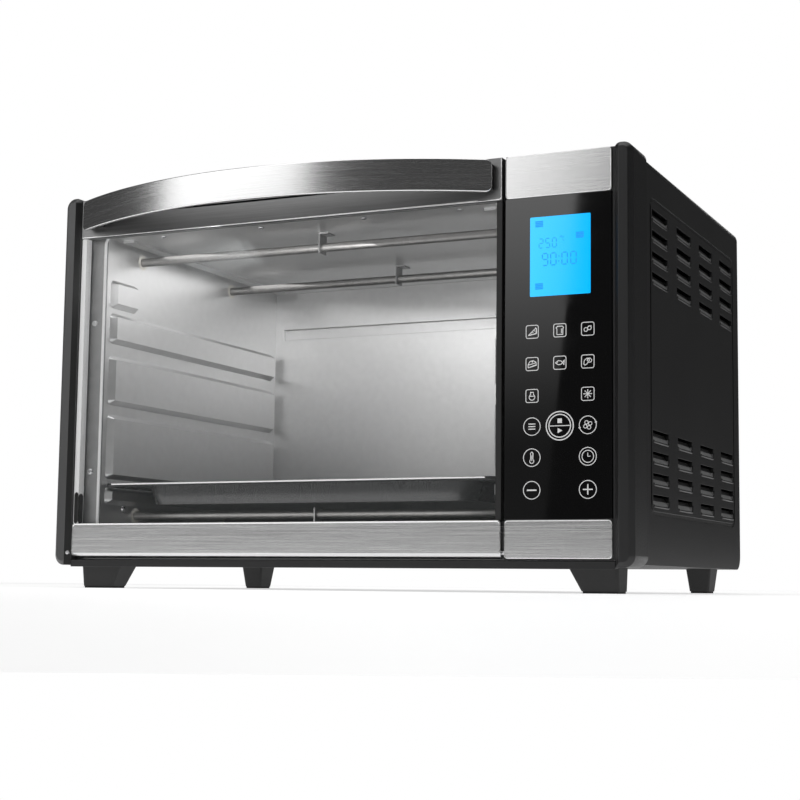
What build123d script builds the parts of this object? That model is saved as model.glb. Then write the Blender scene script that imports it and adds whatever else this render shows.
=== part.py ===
from build123d import *
import os
from math import cos, radians, sin, tan

# Countertop toaster oven with a drop-down glass door and a touch control panel.
# Millimetres, +Z up. The front looks towards -Y. The origin is on the counter, midway
# between the sides and midway between the handle's front and the wrap's rear edge.

# ---- Overall sizes ----
body_width = 480.0           # across the outer faces of the side trims
body_depth = 318.0           # front of the trims to the rear edge of the wrap
body_top = 314.7             # top of the trims above the counter
handle_reach = 49.4          # bowed handle in front of the trims
body_bottom = 17.9           # underside of the trims
pan_bottom = 20.0            # underside of the base pan, seated on the feet

# ---- Sheet and clearances ----
sheet = 1.2                  # outer cabinet steel
liner = 1.0                  # cavity steel
fit_gap = 0.3                # between pieces slid together when assembled
running_gap = 0.08           # radial, shaft in bearing
seam_gap = 0.4               # visible joint line between trim and wrap

# ---- Front ----
trim_width = 14.2
trim_depth = 34.0
trim_wall = 2.8
trim_corner_r = 8.0
trim_inner_r = 4.5
trim_bevel = 3.5             # inner front edge, beside the door and the panel
trim_edge_r = 1.0
face_recess = 4.0            # door and panel faces behind the trims' front
door_thick = 8.0
door_back_gap = 1.0          # door's back to the face frame
door_side_gap = 0.5
door_panel_gap = 2.6
panel_side_gap = 2.3
panel_width = 79.7
face_drop = 2.2              # top of the door below the trims' top
face_rise = 5.7              # bottom of the door above the trims' underside
top_bar_height = 31.5
bottom_trim_height = 27.0
strip_width = 4.6            # dark strips at the door's sides
glass_thick = 4.0
glass_capture = 7.0          # glass held inside the bars
door_skin = 1.0              # metal in front of the glass
corner_r = 2.5
panel_skirt = 0.6            # panel frame below the door's underside
window_margin = 6.0          # face frame's window inside the panel's sides
trim_plate_chamfer = 0.4
glass_corner_r = 0.8
glass_edge_r = 0.3
pocket_gap = 0.1             # control glass to its pocket, above and below
edge_slack = 0.05            # keeps the door's rounded lower edge from meeting itself

# ---- Handle ----
handle_span = 356.0
handle_sag = 47.0
handle_height = 24.0
handle_thick = 3.0
handle_drop = 2.5            # top of the band below the top of the door
mount_length = 16.0
mount_height = 18.0
screw_r = 1.75
screw_head_r = 3.4
screw_head_h = 1.6
handle_corner_r = 4.0
handle_screw_bite = 2.0      # screw past the door's front into the mount
handle_bore = 10.0
mount_end = 1.0              # mount's outer end inside the band's end

# ---- Hinge and stop arms ----
hinge_pin_r = 2.0
hinge_pin_in = 10.0          # length inside the door
hinge_pin_out = 5.0          # length past the door's end
arm_radius = 52.0            # middle of the arm, about the hinge axis
arm_width = 5.0
arm_thick = 2.0
arm_head_r = 3.8
arm_head_angle = -1.3        # degrees behind the door when it is shut
arm_slot_width = 5.0
arm_slot_clear = 6.0         # slot beyond the arm, above and below
arm_shift = 0.3              # arm outward of the strip's middle

# ---- Control panel ----
panel_sheet = 1.2
panel_glass_thick = 3.0
display_width = 45.2
display_height = 57.3
display_top_drop = 14.9      # from the top of the glass to the top of the display
display_right_inset = 15.5   # from the panel's right edge
display_depth = 8.5
board_thick = 1.6
board_margin = 8.0
board_gap = 0.5
post_r = 3.0
post_inset = 4.0             # post's axis from the window's edges
chip_count = 3
chip_size = (10.0, 3.0, 12.0)
chip_pitch = 16.0
chip_first = 12.0
chip_rise = 40.0             # above the door's bottom trim

# ---- Power board, behind the panel ----
power_side = 23.0            # from the cavity's right wall
power_wrap_gap = 10.0
power_front = 66.0           # behind the trims' front
power_rear_gap = 30.0
power_rise = 12.0
power_post_r = 2.5
power_post_inset = 5.0
relay_count = 4
relay_pitch = 32.0
relay_place = (8.0, 12.0)
relay_size = (20.0, 18.0, 16.0)
capacitor_place = (50.0, 40.0)
capacitor_r = 7.0
capacitor_height = 22.0
transformer_place = (38.0, 70.0)
transformer_size = (26.0, 34.0, 26.0)

# ---- Cavity ----
cavity_side_inset = 34.0     # left trim's outer face to the cavity's left wall
cavity_width = 340.0
cavity_floor_z = 48.0
cavity_height = 234.0
cavity_depth = 275.8
emboss_depth = 5.0
emboss_taper = 35.0
tray_level = 83.0            # top of the tray rim
groove_height = 8.2
runner_levels = ((139.0,), (147.0, 187.0), (197.0, 222.0))
short_runner = (226.0, 249.0)
short_runner_length = 36.0
emboss_front_gap = 5.0
emboss_rear_gap = 6.0
emboss_corner_r = 4.0
ledge_clear = 1.0            # lowest runner above the insulators
ceiling_rib_in = 11.0        # rib's middle from the side walls
ceiling_rib_half = 5.0
ceiling_rib_end = 12.0
ceiling_rib_drop = 2.0
floor_rib_y = (80.0, 120.0, 160.0)
floor_rib_end = 30.0
floor_rib_width = 18.0
floor_rib_rise = 2.0
back_band_z = (236.0, 248.0)
back_band_end = 8.0
back_band_depth = 4.0
flange_screw_z = (92.5, 212.5)
flange_screw_r = 2.4
flange_screw_h = 0.9
vent_rings = 4
vent_ring_step = 10.0
vent_ring_holes = 6          # holes in the first ring, and added by each next one
vent_hole_r = 2.2

# ---- Heaters ----
heater_r = 3.5
heater_front = 49.0          # behind the cavity mouth
heater_rear = 192.0
upper_heater_drop = 11.0     # below the ceiling
lower_heater_rise = 11.0     # above the floor
heater_overrun = 7.0         # rod past the wall's outer face
insulator_r = 6.5
insulator_length = 9.0
clip_width = 12.0
clip_foot = 8.0
clip_sheet = 1.0
clip_hook = 1.5              # strap beyond the rod
clip_clear = 0.2
terminal_r = 1.2
terminal_length = 5.0
collar_depth = 3.0
collar_rise = 1.0

# ---- Sensor and cut-out ----
probe_back = 125.0           # behind the cavity mouth
probe_r = 2.0
probe_reach = 26.0           # into the cavity
probe_tail = 12.0
probe_nut_r = 5.0
probe_nut_depth = 3.0
fuse_plate = (24.0, 12.0, 1.0)
fuse_r = 7.5
fuse_height = 6.0

# ---- Tray ----
tray_side_gap = 1.4
tray_front_gap = 0.8         # behind the face frame's rear face
tray_length = 268.0
tray_rim = 22.0
tray_depth = 16.0
tray_sheet = 1.0
tray_bead = 3.0
tray_corner_r = 16.0
tray_draft = 20.0

# ---- Fan ----
fan_back = 136.0             # fan axis behind the cavity mouth
fan_height = 117.0           # fan axis above the cavity floor
fan_housing_r = 60.0
fan_housing_depth = 22.0
impeller_r = 48.0
impeller_depth = 12.0
blade_count = 12
fan_shaft_r = 2.5
motor_r = 26.0
motor_length = 32.0
motor_gap = 6.0              # housing back to the motor's bracket plate
bracket_rim = 6.0            # plate past the motor
bracket_thick = 1.5
bracket_post_r = 3.0
bearing_r = 6.0
bearing_depth = 4.0
impeller_gap = 5.0           # impeller behind the cavity wall's outer face
impeller_plate = 1.0
blade_thick = 1.0
blade_reach = 0.7            # blade length over the impeller's radius
blade_middle = 0.62
blade_turn = 12.0
shaft_nose = 2.0

# ---- Wrap, rear and base ----
wrap_side_inset = 2.2        # wrap's sides inside the trims' outer faces
wrap_top_drop = 1.2
wrap_corner_r = 8.0
wrap_rear_bottom_r = 12.0
louvre_length = 40.6
louvre_height = 8.2
louvre_pitch = 66.2
louvre_step = 15.4
louvre_first = 54.8          # first column behind the trims' front
louvre_top = 277.8
louvre_low_top = 116.7
louvre_count = 4
lip_depth = 2.6
lip_share = 0.85             # of the slot's height that the lip climbs
outline_width = 3.0          # pressed outline round the louvre field
outline_depth = 0.8
outline_front = 49.0
outline_rear = 300.0
outline_bottom = 55.5
outline_top = 286.0
rear_recess = 6.0
rear_lip = 12.0
gland_r = 7.0
gland_in_x = 60.0            # from the right side
gland_z = 70.0
gland_bore_r = 3.6
gland_flange = 2.5
gland_flange_depth = 2.0
gland_inside = 6.0
gland_outside = 3.2
rear_vent_columns = 3
rear_vent_rows = 5
rear_vent_x = 128.0          # first slot from the middle
rear_vent_z = 150.0
rear_vent_raise = 60.0       # left field above the right one
rear_vent_pitch = (30.0, 14.0)
rear_vent_size = (22.0, 4.0)
rear_screw_side = 12.0       # in from the rear panel's side edges
rear_screw_low = 14.0
rear_screw_high = 6.5
rear_screw_length = 4.0
base_vent_columns = 8
base_vent_rows = 6
base_vent_x = 150.0          # first slot left of the middle
base_vent_y = 80.0           # first row behind the trims' front
base_vent_pitch = (40.0, 28.0)
base_vent_size = (20.0, 4.0)
rail_drop = 1.3              # rail's lip below the trims' underside
rail_step = 2.0              # rail's rear lip below the base pan
rail_gap = 1.6               # under the door, clear of its swing
rail_rear_gap = 1.0
rail_turn = 2.0              # where the rail steps up, behind the hinge
top_rail_drop = 10.0

# ---- Feet ----
pad_height = 1.5
pad_inset = 1.0
foot_corner_r = 2.0
foot_bore_z = 4.0
foot_screw_z = 6.0
front_foot_x = (186.0, 223.6)
front_foot_bottom_x = (195.8, 223.6)
front_foot_y = (16.0, 41.0)
front_foot_bottom_y = (18.7, 38.4)
rear_foot_x = (203.5, 224.5)
rear_foot_bottom_x = (205.8, 222.4)
rear_foot_y = (267.0, 293.0)
rear_foot_bottom_y = (270.0, 290.0)

# ---- Derived places ----
front_y = (handle_reach - body_depth) / 2
rear_y = front_y + body_depth
half = body_width / 2
trim_in = half - trim_width
door_front = front_y + face_recess
door_back = door_front + door_thick
frame_front = door_back + door_back_gap
frame_back = frame_front + sheet
door_left = -trim_in + door_side_gap
panel_right = trim_in - panel_side_gap
panel_left = panel_right - panel_width
door_right = panel_left - door_panel_gap
door_mid = (door_left + door_right) / 2
face_top = body_top - face_drop
face_bottom = body_bottom + face_rise
bar_bottom = face_top - top_bar_height
trim_top = face_bottom + bottom_trim_height
hinge_y = (door_front + door_back) / 2
hinge_z = face_bottom + door_thick / 2
wrap_x = half - wrap_side_inset
wrap_in = wrap_x - sheet
wrap_top = body_top - wrap_top_drop
wrap_under = wrap_top - sheet
wrap_front = front_y + trim_depth + seam_gap
cav_left = -half + cavity_side_inset
cav_right = cav_left + cavity_width
cav_mid = (cav_left + cav_right) / 2
cav_top = cavity_floor_z + cavity_height
cav_back = frame_back + cavity_depth
pan_top = pan_bottom + sheet
rear_panel_y = rear_y - rear_recess - sheet

os.makedirs("parts", exist_ok=True)


def save(piece, name):
    """Label a finished piece and write its STEP file."""
    piece.part.label = name
    export_step(piece.part, f"parts/{name}.step")


def block(x, y, z, mode=Mode.ADD):
    """Box between two limits on each axis."""
    with Locations(((x[0] + x[1]) / 2, (y[0] + y[1]) / 2, (z[0] + z[1]) / 2)):
        Box(x[1] - x[0], y[1] - y[0], z[1] - z[0], mode=mode)


def rod(start, axis, radius, length, mode=Mode.ADD):
    """Cylinder from a start point along +X, +Y or +Z."""
    turn = {"x": (0, 90, 0), "y": (-90, 0, 0), "z": (0, 0, 0)}[axis]
    low = (Align.CENTER, Align.CENTER, Align.MIN)
    with Locations(Location(start, turn)):
        Cylinder(radius, length, align=low, mode=mode)


def rounded_plate(x, y, z, radius, mode=Mode.ADD):
    """Plate facing -Y, with rounded corners in its front view."""
    with BuildSketch(Plane((0, y[1], 0), x_dir=(1, 0, 0), z_dir=(0, -1, 0))) as face:
        with Locations(((x[0] + x[1]) / 2, (z[0] + z[1]) / 2)):
            RectangleRounded(x[1] - x[0], z[1] - z[0], radius)
    extrude(face.sketch, amount=y[1] - y[0], mode=mode)


def side_prism(x, points, mode=Mode.ADD):
    """Prism along X with a polygon given in (Y, Z)."""
    with BuildSketch(Plane((x[0], 0, 0), x_dir=(0, 1, 0), z_dir=(1, 0, 0))) as face:
        with BuildLine():
            Polyline(*points, close=True)
        make_face()
    extrude(face.sketch, amount=x[1] - x[0], mode=mode)


# ---- Outer wrap: one bent sheet, left side, top and right side ----
def arch(x, top, radius, depth, mode=Mode.ADD):
    """Block from the wrap's front edge backwards, with its two top edges rounded."""
    with BuildSketch(Plane((0, wrap_front, 0), x_dir=(-1, 0, 0), z_dir=(0, 1, 0))) as outline:
        with Locations((0, (top + pan_bottom) / 2)):
            Rectangle(2 * x, top - pan_bottom)
        fillet(outline.vertices().group_by(Axis.Y)[-1], radius)
    extrude(outline.sketch, amount=depth, mode=mode)


with BuildPart() as cabinet_wrap:
    arch(wrap_x, wrap_top, wrap_corner_r, rear_y - wrap_front)
    arch(wrap_in, wrap_under, wrap_corner_r - sheet, rear_y - wrap_front, Mode.SUBTRACT)
    low_rear = cabinet_wrap.edges().filter_by(Axis.X).group_by(Axis.Z)[0].group_by(Axis.Y)[-1]
    fillet(low_rear, wrap_rear_bottom_r)
    columns = [front_y + louvre_first + louvre_pitch * index for index in range(louvre_count)]
    rows = [top - louvre_step * index for top in (louvre_top, louvre_low_top)
            for index in range(louvre_count)]
    with BuildSketch(Plane.YZ.offset(-half)) as slots:
        with Locations(*[(y + louvre_length / 2, z - louvre_height / 2)
                         for y in columns for z in rows]):
            Rectangle(louvre_length, louvre_height)
    extrude(slots.sketch, amount=body_width, mode=Mode.SUBTRACT)
    # pressed lips slope inwards from the slots' lower edges
    lip_rise = louvre_height * lip_share
    for y in columns:
        with BuildSketch(Plane.XZ.offset(-y)) as lips:
            for side in (-1, 1):
                out, tip = side * wrap_x, side * (wrap_in - lip_depth)
                for z in [top - louvre_height for top in rows]:
                    with BuildLine():
                        Polyline((out, z), (tip, z + lip_rise), (tip, z + lip_rise - sheet),
                                 (side * wrap_in, z - sheet), (out, z - sheet), close=True)
                    make_face()
        extrude(lips.sketch, amount=-louvre_length)
    # pressed outline round the louvre field
    for side in (-1, 1):
        with BuildSketch(Plane.YZ.offset(side * (wrap_x + 1))) as ring:
            y_mid = front_y + (outline_front + outline_rear) / 2
            with Locations((y_mid, (outline_bottom + outline_top) / 2)):
                width = outline_rear - outline_front
                height = outline_top - outline_bottom
                RectangleRounded(width, height, wrap_corner_r)
                RectangleRounded(width - 2 * outline_width, height - 2 * outline_width,
                                 wrap_corner_r - outline_width, mode=Mode.SUBTRACT)
        extrude(ring.sketch, amount=-side * (1 + outline_depth), mode=Mode.SUBTRACT)
save(cabinet_wrap, "cabinet_wrap")

# ---- Rear panel: a shallow pan inside the wrap's rear edge ----
panel_x = wrap_in - fit_gap
panel_z = (pan_bottom, wrap_under - fit_gap)
with BuildPart() as rear_panel:
    rounded_plate((-panel_x, panel_x), (rear_panel_y, rear_panel_y + sheet), panel_z,
                  wrap_corner_r)
    lip_y = (rear_panel_y - rear_lip, rear_panel_y)
    lip_z = (panel_z[0] + wrap_corner_r + fit_gap, panel_z[1] - wrap_corner_r - fit_gap)
    for side in (-1, 1):
        block(sorted((side * panel_x, side * (panel_x - sheet))), lip_y, lip_z)
    block((-panel_x + wrap_corner_r, panel_x - wrap_corner_r), lip_y,
          (panel_z[1] - sheet, panel_z[1]))
    for row in range(rear_vent_rows):
        for column in range(rear_vent_columns):
            x0 = rear_vent_x + column * rear_vent_pitch[0]
            z0 = rear_vent_z + row * rear_vent_pitch[1]
            for side, low in ((1, z0), (-1, z0 + rear_vent_raise)):
                block(sorted((side * x0, side * (x0 + rear_vent_size[0]))),
                      (rear_panel_y, rear_panel_y + sheet), (low, low + rear_vent_size[1]),
                      mode=Mode.SUBTRACT)
    gland_x = half - gland_in_x
    rod((gland_x, rear_panel_y - 1, gland_z), "y", gland_r, sheet + 2, mode=Mode.SUBTRACT)
    screw_places = [(x, z) for x in (-panel_x + rear_screw_side, 0, panel_x - rear_screw_side)
                    for z in (panel_z[0] + rear_screw_low, panel_z[1] - rear_screw_high)]
    for x, z in screw_places:
        rod((x, rear_panel_y - 1, z), "y", screw_r, sheet + 2, mode=Mode.SUBTRACT)
save(rear_panel, "rear_panel")

with BuildPart() as rear_screws:
    for x, z in screw_places:
        rod((x, rear_panel_y - rear_screw_length, z), "y", screw_r, rear_screw_length + sheet)
        rod((x, rear_panel_y + sheet, z), "y", screw_head_r, screw_head_h)
save(rear_screws, "rear_screws")

# ---- Base pan ----
pan_x = wrap_in - fit_gap
foot_centres = []
for side in (-1, 1):
    for span_x, span_y in ((front_foot_x, front_foot_y), (rear_foot_x, rear_foot_y)):
        centre_x = side * (span_x[0] + span_x[1]) / 2
        foot_centres.append((centre_x, front_y + (span_y[0] + span_y[1]) / 2))
with BuildPart() as base_pan:
    trim_rear = front_y + trim_depth + fit_gap
    block((-pan_x, pan_x), (trim_rear, rear_panel_y - fit_gap), (pan_bottom, pan_top))
    block((-trim_in + fit_gap, trim_in - fit_gap), (frame_back, trim_rear),
          (pan_bottom, pan_top))
    for row in range(base_vent_rows):
        for column in range(base_vent_columns):
            x0 = column * base_vent_pitch[0] - base_vent_x
            y0 = front_y + base_vent_y + row * base_vent_pitch[1]
            block((x0, x0 + base_vent_size[0]), (y0, y0 + base_vent_size[1]),
                  (pan_bottom, pan_top), mode=Mode.SUBTRACT)
    for x, y in foot_centres:
        rod((x, y, pan_bottom - 1), "z", screw_r, sheet + 2, mode=Mode.SUBTRACT)
save(base_pan, "base_pan")


# ---- Feet: tapered mouldings, rubber pads and their screws ----
def foot(x_top, x_low, y_top, y_low, side):
    """Tapered foot from the rubber pad up to the base pan, hollow for its screw."""
    for z, span_x, span_y in ((pad_height, x_low, y_low), (pan_bottom, x_top, y_top)):
        with BuildSketch(Plane.XY.offset(z)) as level:
            centre = (side * (span_x[0] + span_x[1]) / 2, front_y + (span_y[0] + span_y[1]) / 2)
            with Locations(centre):
                Rectangle(span_x[1] - span_x[0], span_y[1] - span_y[0])
            fillet(level.vertices(), foot_corner_r)
        yield level.sketch


foot_sizes = {
    "front": (front_foot_x, front_foot_bottom_x, front_foot_y, front_foot_bottom_y),
    "rear": (rear_foot_x, rear_foot_bottom_x, rear_foot_y, rear_foot_bottom_y),
}
for end, sizes in foot_sizes.items():
    for side, word in ((-1, "left"), (1, "right")):
        low, high = foot(*sizes, side)
        with BuildPart() as one_foot:
            loft([low, high])
            centre_x = side * (sizes[0][0] + sizes[0][1]) / 2
            centre_y = front_y + (sizes[2][0] + sizes[2][1]) / 2
            rod((centre_x, centre_y, foot_bore_z), "z", screw_r, pan_bottom, mode=Mode.SUBTRACT)
        save(one_foot, f"{end}_foot_{word}")

with BuildPart() as foot_pads:
    for sizes in foot_sizes.values():
        for side in (-1, 1):
            x_low, y_low = sizes[1], sizes[3]
            block(sorted((side * (x_low[0] + pad_inset), side * (x_low[1] - pad_inset))),
                  (front_y + y_low[0] + pad_inset, front_y + y_low[1] - pad_inset),
                  (0, pad_height))
save(foot_pads, "foot_pads")

with BuildPart() as foot_screws:
    for x, y in foot_centres:
        rod((x, y, foot_screw_z), "z", screw_r, pan_top - foot_screw_z)
        rod((x, y, pan_top), "z", screw_head_r, screw_head_h)
save(foot_screws, "foot_screws")

# ---- Side trims ----
for side, word in ((-1, "left"), (1, "right")):
    with BuildPart() as trim:
        x_edges = sorted((side * half, side * trim_in))
        block(x_edges, (front_y, front_y + trim_depth), (body_bottom, body_top))
        by_side = trim.edges().filter_by(Axis.Y).group_by(Axis.X)
        outer, inner = (by_side[-1], by_side[0]) if side > 0 else (by_side[0], by_side[-1])
        fillet(outer, trim_corner_r)
        fillet(inner.sort_by(Axis.Z)[-1], trim_inner_r)
        pocket_x = sorted((side * (half - trim_wall), side * trim_in))
        block(pocket_x, (frame_front, front_y + trim_depth),
              (body_bottom + trim_wall, body_top - trim_wall), mode=Mode.SUBTRACT)
        front_edges = trim.faces().sort_by(Axis.Y)[0].outer_wire().edges()
        uprights = front_edges.filter_by(Axis.Z).sort_by(Axis.X)
        inner_upright = uprights[0] if side > 0 else uprights[-1]
        chamfer(inner_upright, trim_bevel)
        outer_upright = trim.faces().sort_by(Axis.Y)[0].outer_wire().edges().filter_by(Axis.Z)
        fillet(outer_upright.sort_by(Axis.X)[-1 if side > 0 else 0], trim_edge_r)
        if side < 0:
            rod((-trim_in - hinge_pin_out - door_side_gap, hinge_y, hinge_z), "x",
                hinge_pin_r + running_gap, trim_width, mode=Mode.SUBTRACT)
    save(trim, f"{word}_trim")

# ---- Front rails ----
rail_low = body_bottom - rail_drop
rail_rear = front_y + front_foot_y[0] - fit_gap
with BuildPart() as front_bottom_rail:
    side_prism((-trim_in + fit_gap, trim_in - fit_gap),
               [(door_front, rail_low), (rail_rear, pan_bottom - rail_step),
                (rail_rear, pan_bottom), (frame_front, pan_bottom),
                (frame_front, face_bottom - rail_rear_gap),
                (hinge_y + rail_turn, face_bottom - rail_gap),
                (door_front, face_bottom - rail_gap)])
save(front_bottom_rail, "front_bottom_rail")

with BuildPart() as top_front_rail:
    block((-trim_in + fit_gap, trim_in - fit_gap), (frame_back, front_y + trim_depth),
          (wrap_under, wrap_top))
    block((-trim_in + fit_gap, trim_in - fit_gap), (front_y + trim_depth - sheet,
          front_y + trim_depth), (wrap_under - top_rail_drop, wrap_under))
save(top_front_rail, "top_front_rail")

# ---- Face frame: the sheet that joins the cavity, trims and panel ----
arm_x = {-1: door_left + strip_width / 2 - arm_shift,
         1: door_right - strip_width / 2 + arm_shift}
slot_z = (hinge_z + arm_radius - arm_width / 2 - arm_slot_clear,
          hinge_z + arm_radius + arm_width / 2 + arm_slot_clear)
window_x = (panel_left + window_margin, panel_right - window_margin)
window_z = (trim_top + board_margin, bar_bottom - window_margin)
with BuildPart() as face_frame:
    frame_x = half - trim_wall - fit_gap
    block((-frame_x, frame_x), (frame_front, frame_back),
          (body_bottom + trim_wall + fit_gap, body_top - trim_wall - fit_gap))
    block((cav_left, cav_right), (frame_front, frame_back), (cavity_floor_z, cav_top),
          mode=Mode.SUBTRACT)
    block(window_x, (frame_front, frame_back), window_z, mode=Mode.SUBTRACT)
    for side in (-1, 1):
        rounded_plate((arm_x[side] - arm_slot_width / 2, arm_x[side] + arm_slot_width / 2),
                      (frame_front, frame_back), slot_z, arm_slot_width / 2 - 0.01,
                      mode=Mode.SUBTRACT)
save(face_frame, "face_frame")

# ---- Cavity walls with pressed runners ----
groove_top = tray_level + groove_height / 2
ledge_top = tray_level - tray_bead - fit_gap + tray_side_gap * tan(radians(emboss_taper))
ledge_bottom = cavity_floor_z + lower_heater_rise + insulator_r + ledge_clear
band_levels = [(ledge_bottom, ledge_top), (groove_top, *runner_levels[0]), *runner_levels[1:]]
emboss_front = frame_back + emboss_front_gap
emboss_rear = cav_back - emboss_rear_gap
fan_y = frame_back + fan_back
fan_z = cavity_floor_z + fan_height


def emboss(wall_x, inward, y, z):
    """Tapered panel pressed from the wall's plane into the cavity, open on its back."""
    plane = Plane((wall_x, (y[0] + y[1]) / 2, (z[0] + z[1]) / 2), x_dir=(0, 1, 0),
                  z_dir=(inward, 0, 0))
    back = Plane(plane.origin - plane.z_dir * liner, x_dir=(0, 1, 0), z_dir=(inward, 0, 0))
    with BuildSketch(plane) as front_shape:
        RectangleRounded(y[1] - y[0], z[1] - z[0], emboss_corner_r)
    extrude(front_shape.sketch, amount=emboss_depth, taper=emboss_taper)
    with BuildSketch(back) as back_shape:
        RectangleRounded(y[1] - y[0] - 2 * liner, z[1] - z[0] - 2 * liner,
                         emboss_corner_r - liner)
    extrude(back_shape.sketch, amount=emboss_depth, taper=emboss_taper, mode=Mode.SUBTRACT)


def heater_places():
    """(Y, Z) of each heater rod, with its name."""
    for level, z in (("upper", cav_top - upper_heater_drop),
                     ("lower", cavity_floor_z + lower_heater_rise)):
        for row, back in (("front", heater_front), ("rear", heater_rear)):
            yield f"{level}_{row}_heater", frame_back + back, z


with BuildPart() as cavity_left_wall:
    block((cav_left - liner, cav_left), (frame_back, cav_back), (cavity_floor_z, cav_top))
    for z in band_levels:
        emboss(cav_left, 1, (emboss_front, emboss_rear), z)
    emboss(cav_left, 1, (emboss_front, emboss_front + short_runner_length), short_runner)
    for name, y, z in heater_places():
        rod((cav_left - 2 * liner, y, z), "x", insulator_r, 4 * liner, mode=Mode.SUBTRACT)
save(cavity_left_wall, "cavity_left_wall")

probe_y = frame_back + probe_back
probe_z = cav_top - upper_heater_drop
with BuildPart() as cavity_right_wall:
    block((cav_right, cav_right + liner), (frame_back, cav_back), (cavity_floor_z, cav_top))
    for z in band_levels:
        for y in ((emboss_front, fan_y - fan_housing_r), (fan_y + fan_housing_r, emboss_rear)):
            emboss(cav_right, -1, y, z)
    for name, y, z in heater_places():
        rod((cav_right - liner, y, z), "x", insulator_r, 4 * liner, mode=Mode.SUBTRACT)
    rod((cav_right - liner, probe_y, probe_z), "x", probe_r, 4 * liner, mode=Mode.SUBTRACT)
    for ring in range(1, vent_rings + 1):
        with Locations(Location((cav_right + liner / 2, fan_y, fan_z), (0, 90, 0))):
            with PolarLocations(ring * vent_ring_step, ring * vent_ring_holes):
                Cylinder(vent_hole_r, 3 * liner, mode=Mode.SUBTRACT)
save(cavity_right_wall, "cavity_right_wall")

with BuildPart() as cavity_ceiling:
    block((cav_left - liner, cav_right + liner), (frame_back, cav_back + liner),
          (cav_top, cav_top + liner))
    for x in (cav_left + ceiling_rib_in, cav_right - ceiling_rib_in):
        for skin, mode in ((0, Mode.ADD), (liner, Mode.SUBTRACT)):
            rib_half, rib_end = ceiling_rib_half - skin, ceiling_rib_end + skin
            block((x - rib_half, x + rib_half), (frame_back + rib_end, cav_back - rib_end),
                  (cav_top - ceiling_rib_drop + skin, cav_top + liner), mode=mode)
save(cavity_ceiling, "cavity_ceiling")

with BuildPart() as cavity_floor:
    block((cav_left - liner, cav_right + liner), (frame_back, cav_back + liner),
          (cavity_floor_z - liner, cavity_floor_z))
    for back in floor_rib_y:
        y = frame_back + back
        for skin, mode in ((0, Mode.ADD), (liner, Mode.SUBTRACT)):
            rib_end = floor_rib_end + skin
            block((cav_left + rib_end, cav_right - rib_end), (y + skin, y + floor_rib_width - skin),
                  (cavity_floor_z - skin, cavity_floor_z + floor_rib_rise - skin), mode=mode)
save(cavity_floor, "cavity_floor")

with BuildPart() as cavity_back:
    block((cav_left - liner, cav_right + liner), (cav_back, cav_back + liner),
          (cavity_floor_z, cav_top))
    # pressed stiffening band across the upper back
    for skin, mode in ((0, Mode.ADD), (liner, Mode.SUBTRACT)):
        band_end = back_band_end + skin
        block((cav_left + band_end, cav_right - band_end),
              (cav_back, cav_back + back_band_depth - skin),
              (back_band_z[0] + skin, back_band_z[1] - skin), mode=mode)
save(cavity_back, "cavity_back")

# ---- Heaters ----
heater_x = (cav_left - liner - heater_overrun, cav_right + liner + heater_overrun)
for name, y, z in heater_places():
    with BuildPart() as heater:
        rod((heater_x[0], y, z), "x", heater_r, heater_x[1] - heater_x[0])
        rod((heater_x[0] - terminal_length, y, z), "x", terminal_r,
            heater_x[1] - heater_x[0] + 2 * terminal_length)
    save(heater, name)

with BuildPart() as heater_insulators:
    for name, y, z in heater_places():
        for x0 in (cav_left - insulator_length, cav_right):
            rod((x0, y, z), "x", insulator_r, insulator_length)
        for x0 in (cav_left - liner - collar_depth, cav_right + liner):
            rod((x0, y, z), "x", insulator_r + collar_rise, collar_depth)
        for x0 in (cav_left - insulator_length, cav_right):
            rod((x0, y, z), "x", heater_r, insulator_length, mode=Mode.SUBTRACT)
save(heater_insulators, "heater_insulators")

with BuildPart() as heater_clips:
    for name, y, z in heater_places():
        edge = cav_top if z > fan_z else cavity_floor_z
        inward = 1 if z < fan_z else -1
        clip_y = (y - clip_width / 2, y + clip_width / 2)
        block((cav_mid - clip_sheet / 2, cav_mid + clip_sheet / 2), clip_y,
              sorted((edge, z + inward * (heater_r + clip_hook))))
        block((cav_mid, cav_mid + clip_foot), clip_y, sorted((edge, edge + inward * clip_sheet)))
    for name, y, z in heater_places():
        rod((cav_mid - clip_sheet, y, z), "x", heater_r + clip_clear, 2 * clip_sheet,
            mode=Mode.SUBTRACT)
save(heater_clips, "heater_clips")

# ---- Screws on the face frame's left flange ----
with BuildPart() as flange_screws:
    screw_x = (-trim_in + cav_left) / 2
    for z in flange_screw_z:
        rod((screw_x, frame_front - flange_screw_h, z), "y", flange_screw_r, flange_screw_h)
save(flange_screws, "flange_screws")

# ---- Control panel ----
glass_z = (trim_top + pocket_gap, bar_bottom - pocket_gap)
glass_back = door_front + panel_glass_thick
for name, z in (("upper_panel_trim", (bar_bottom, face_top)),
                ("lower_panel_trim", (face_bottom, trim_top))):
    with BuildPart() as silver:
        rounded_plate((panel_left, panel_right), (door_front, door_front + panel_sheet), z,
                      corner_r)
        chamfer(silver.faces().sort_by(Axis.Y)[0].outer_wire().edges(), trim_plate_chamfer)
    save(silver, name)

with BuildPart() as control_glass:
    rounded_plate((panel_left, panel_right), (door_front, glass_back), glass_z,
                  glass_corner_r)
    fillet(control_glass.faces().sort_by(Axis.Y)[0].outer_wire().edges(), glass_edge_r)
save(control_glass, "control_glass")

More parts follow.
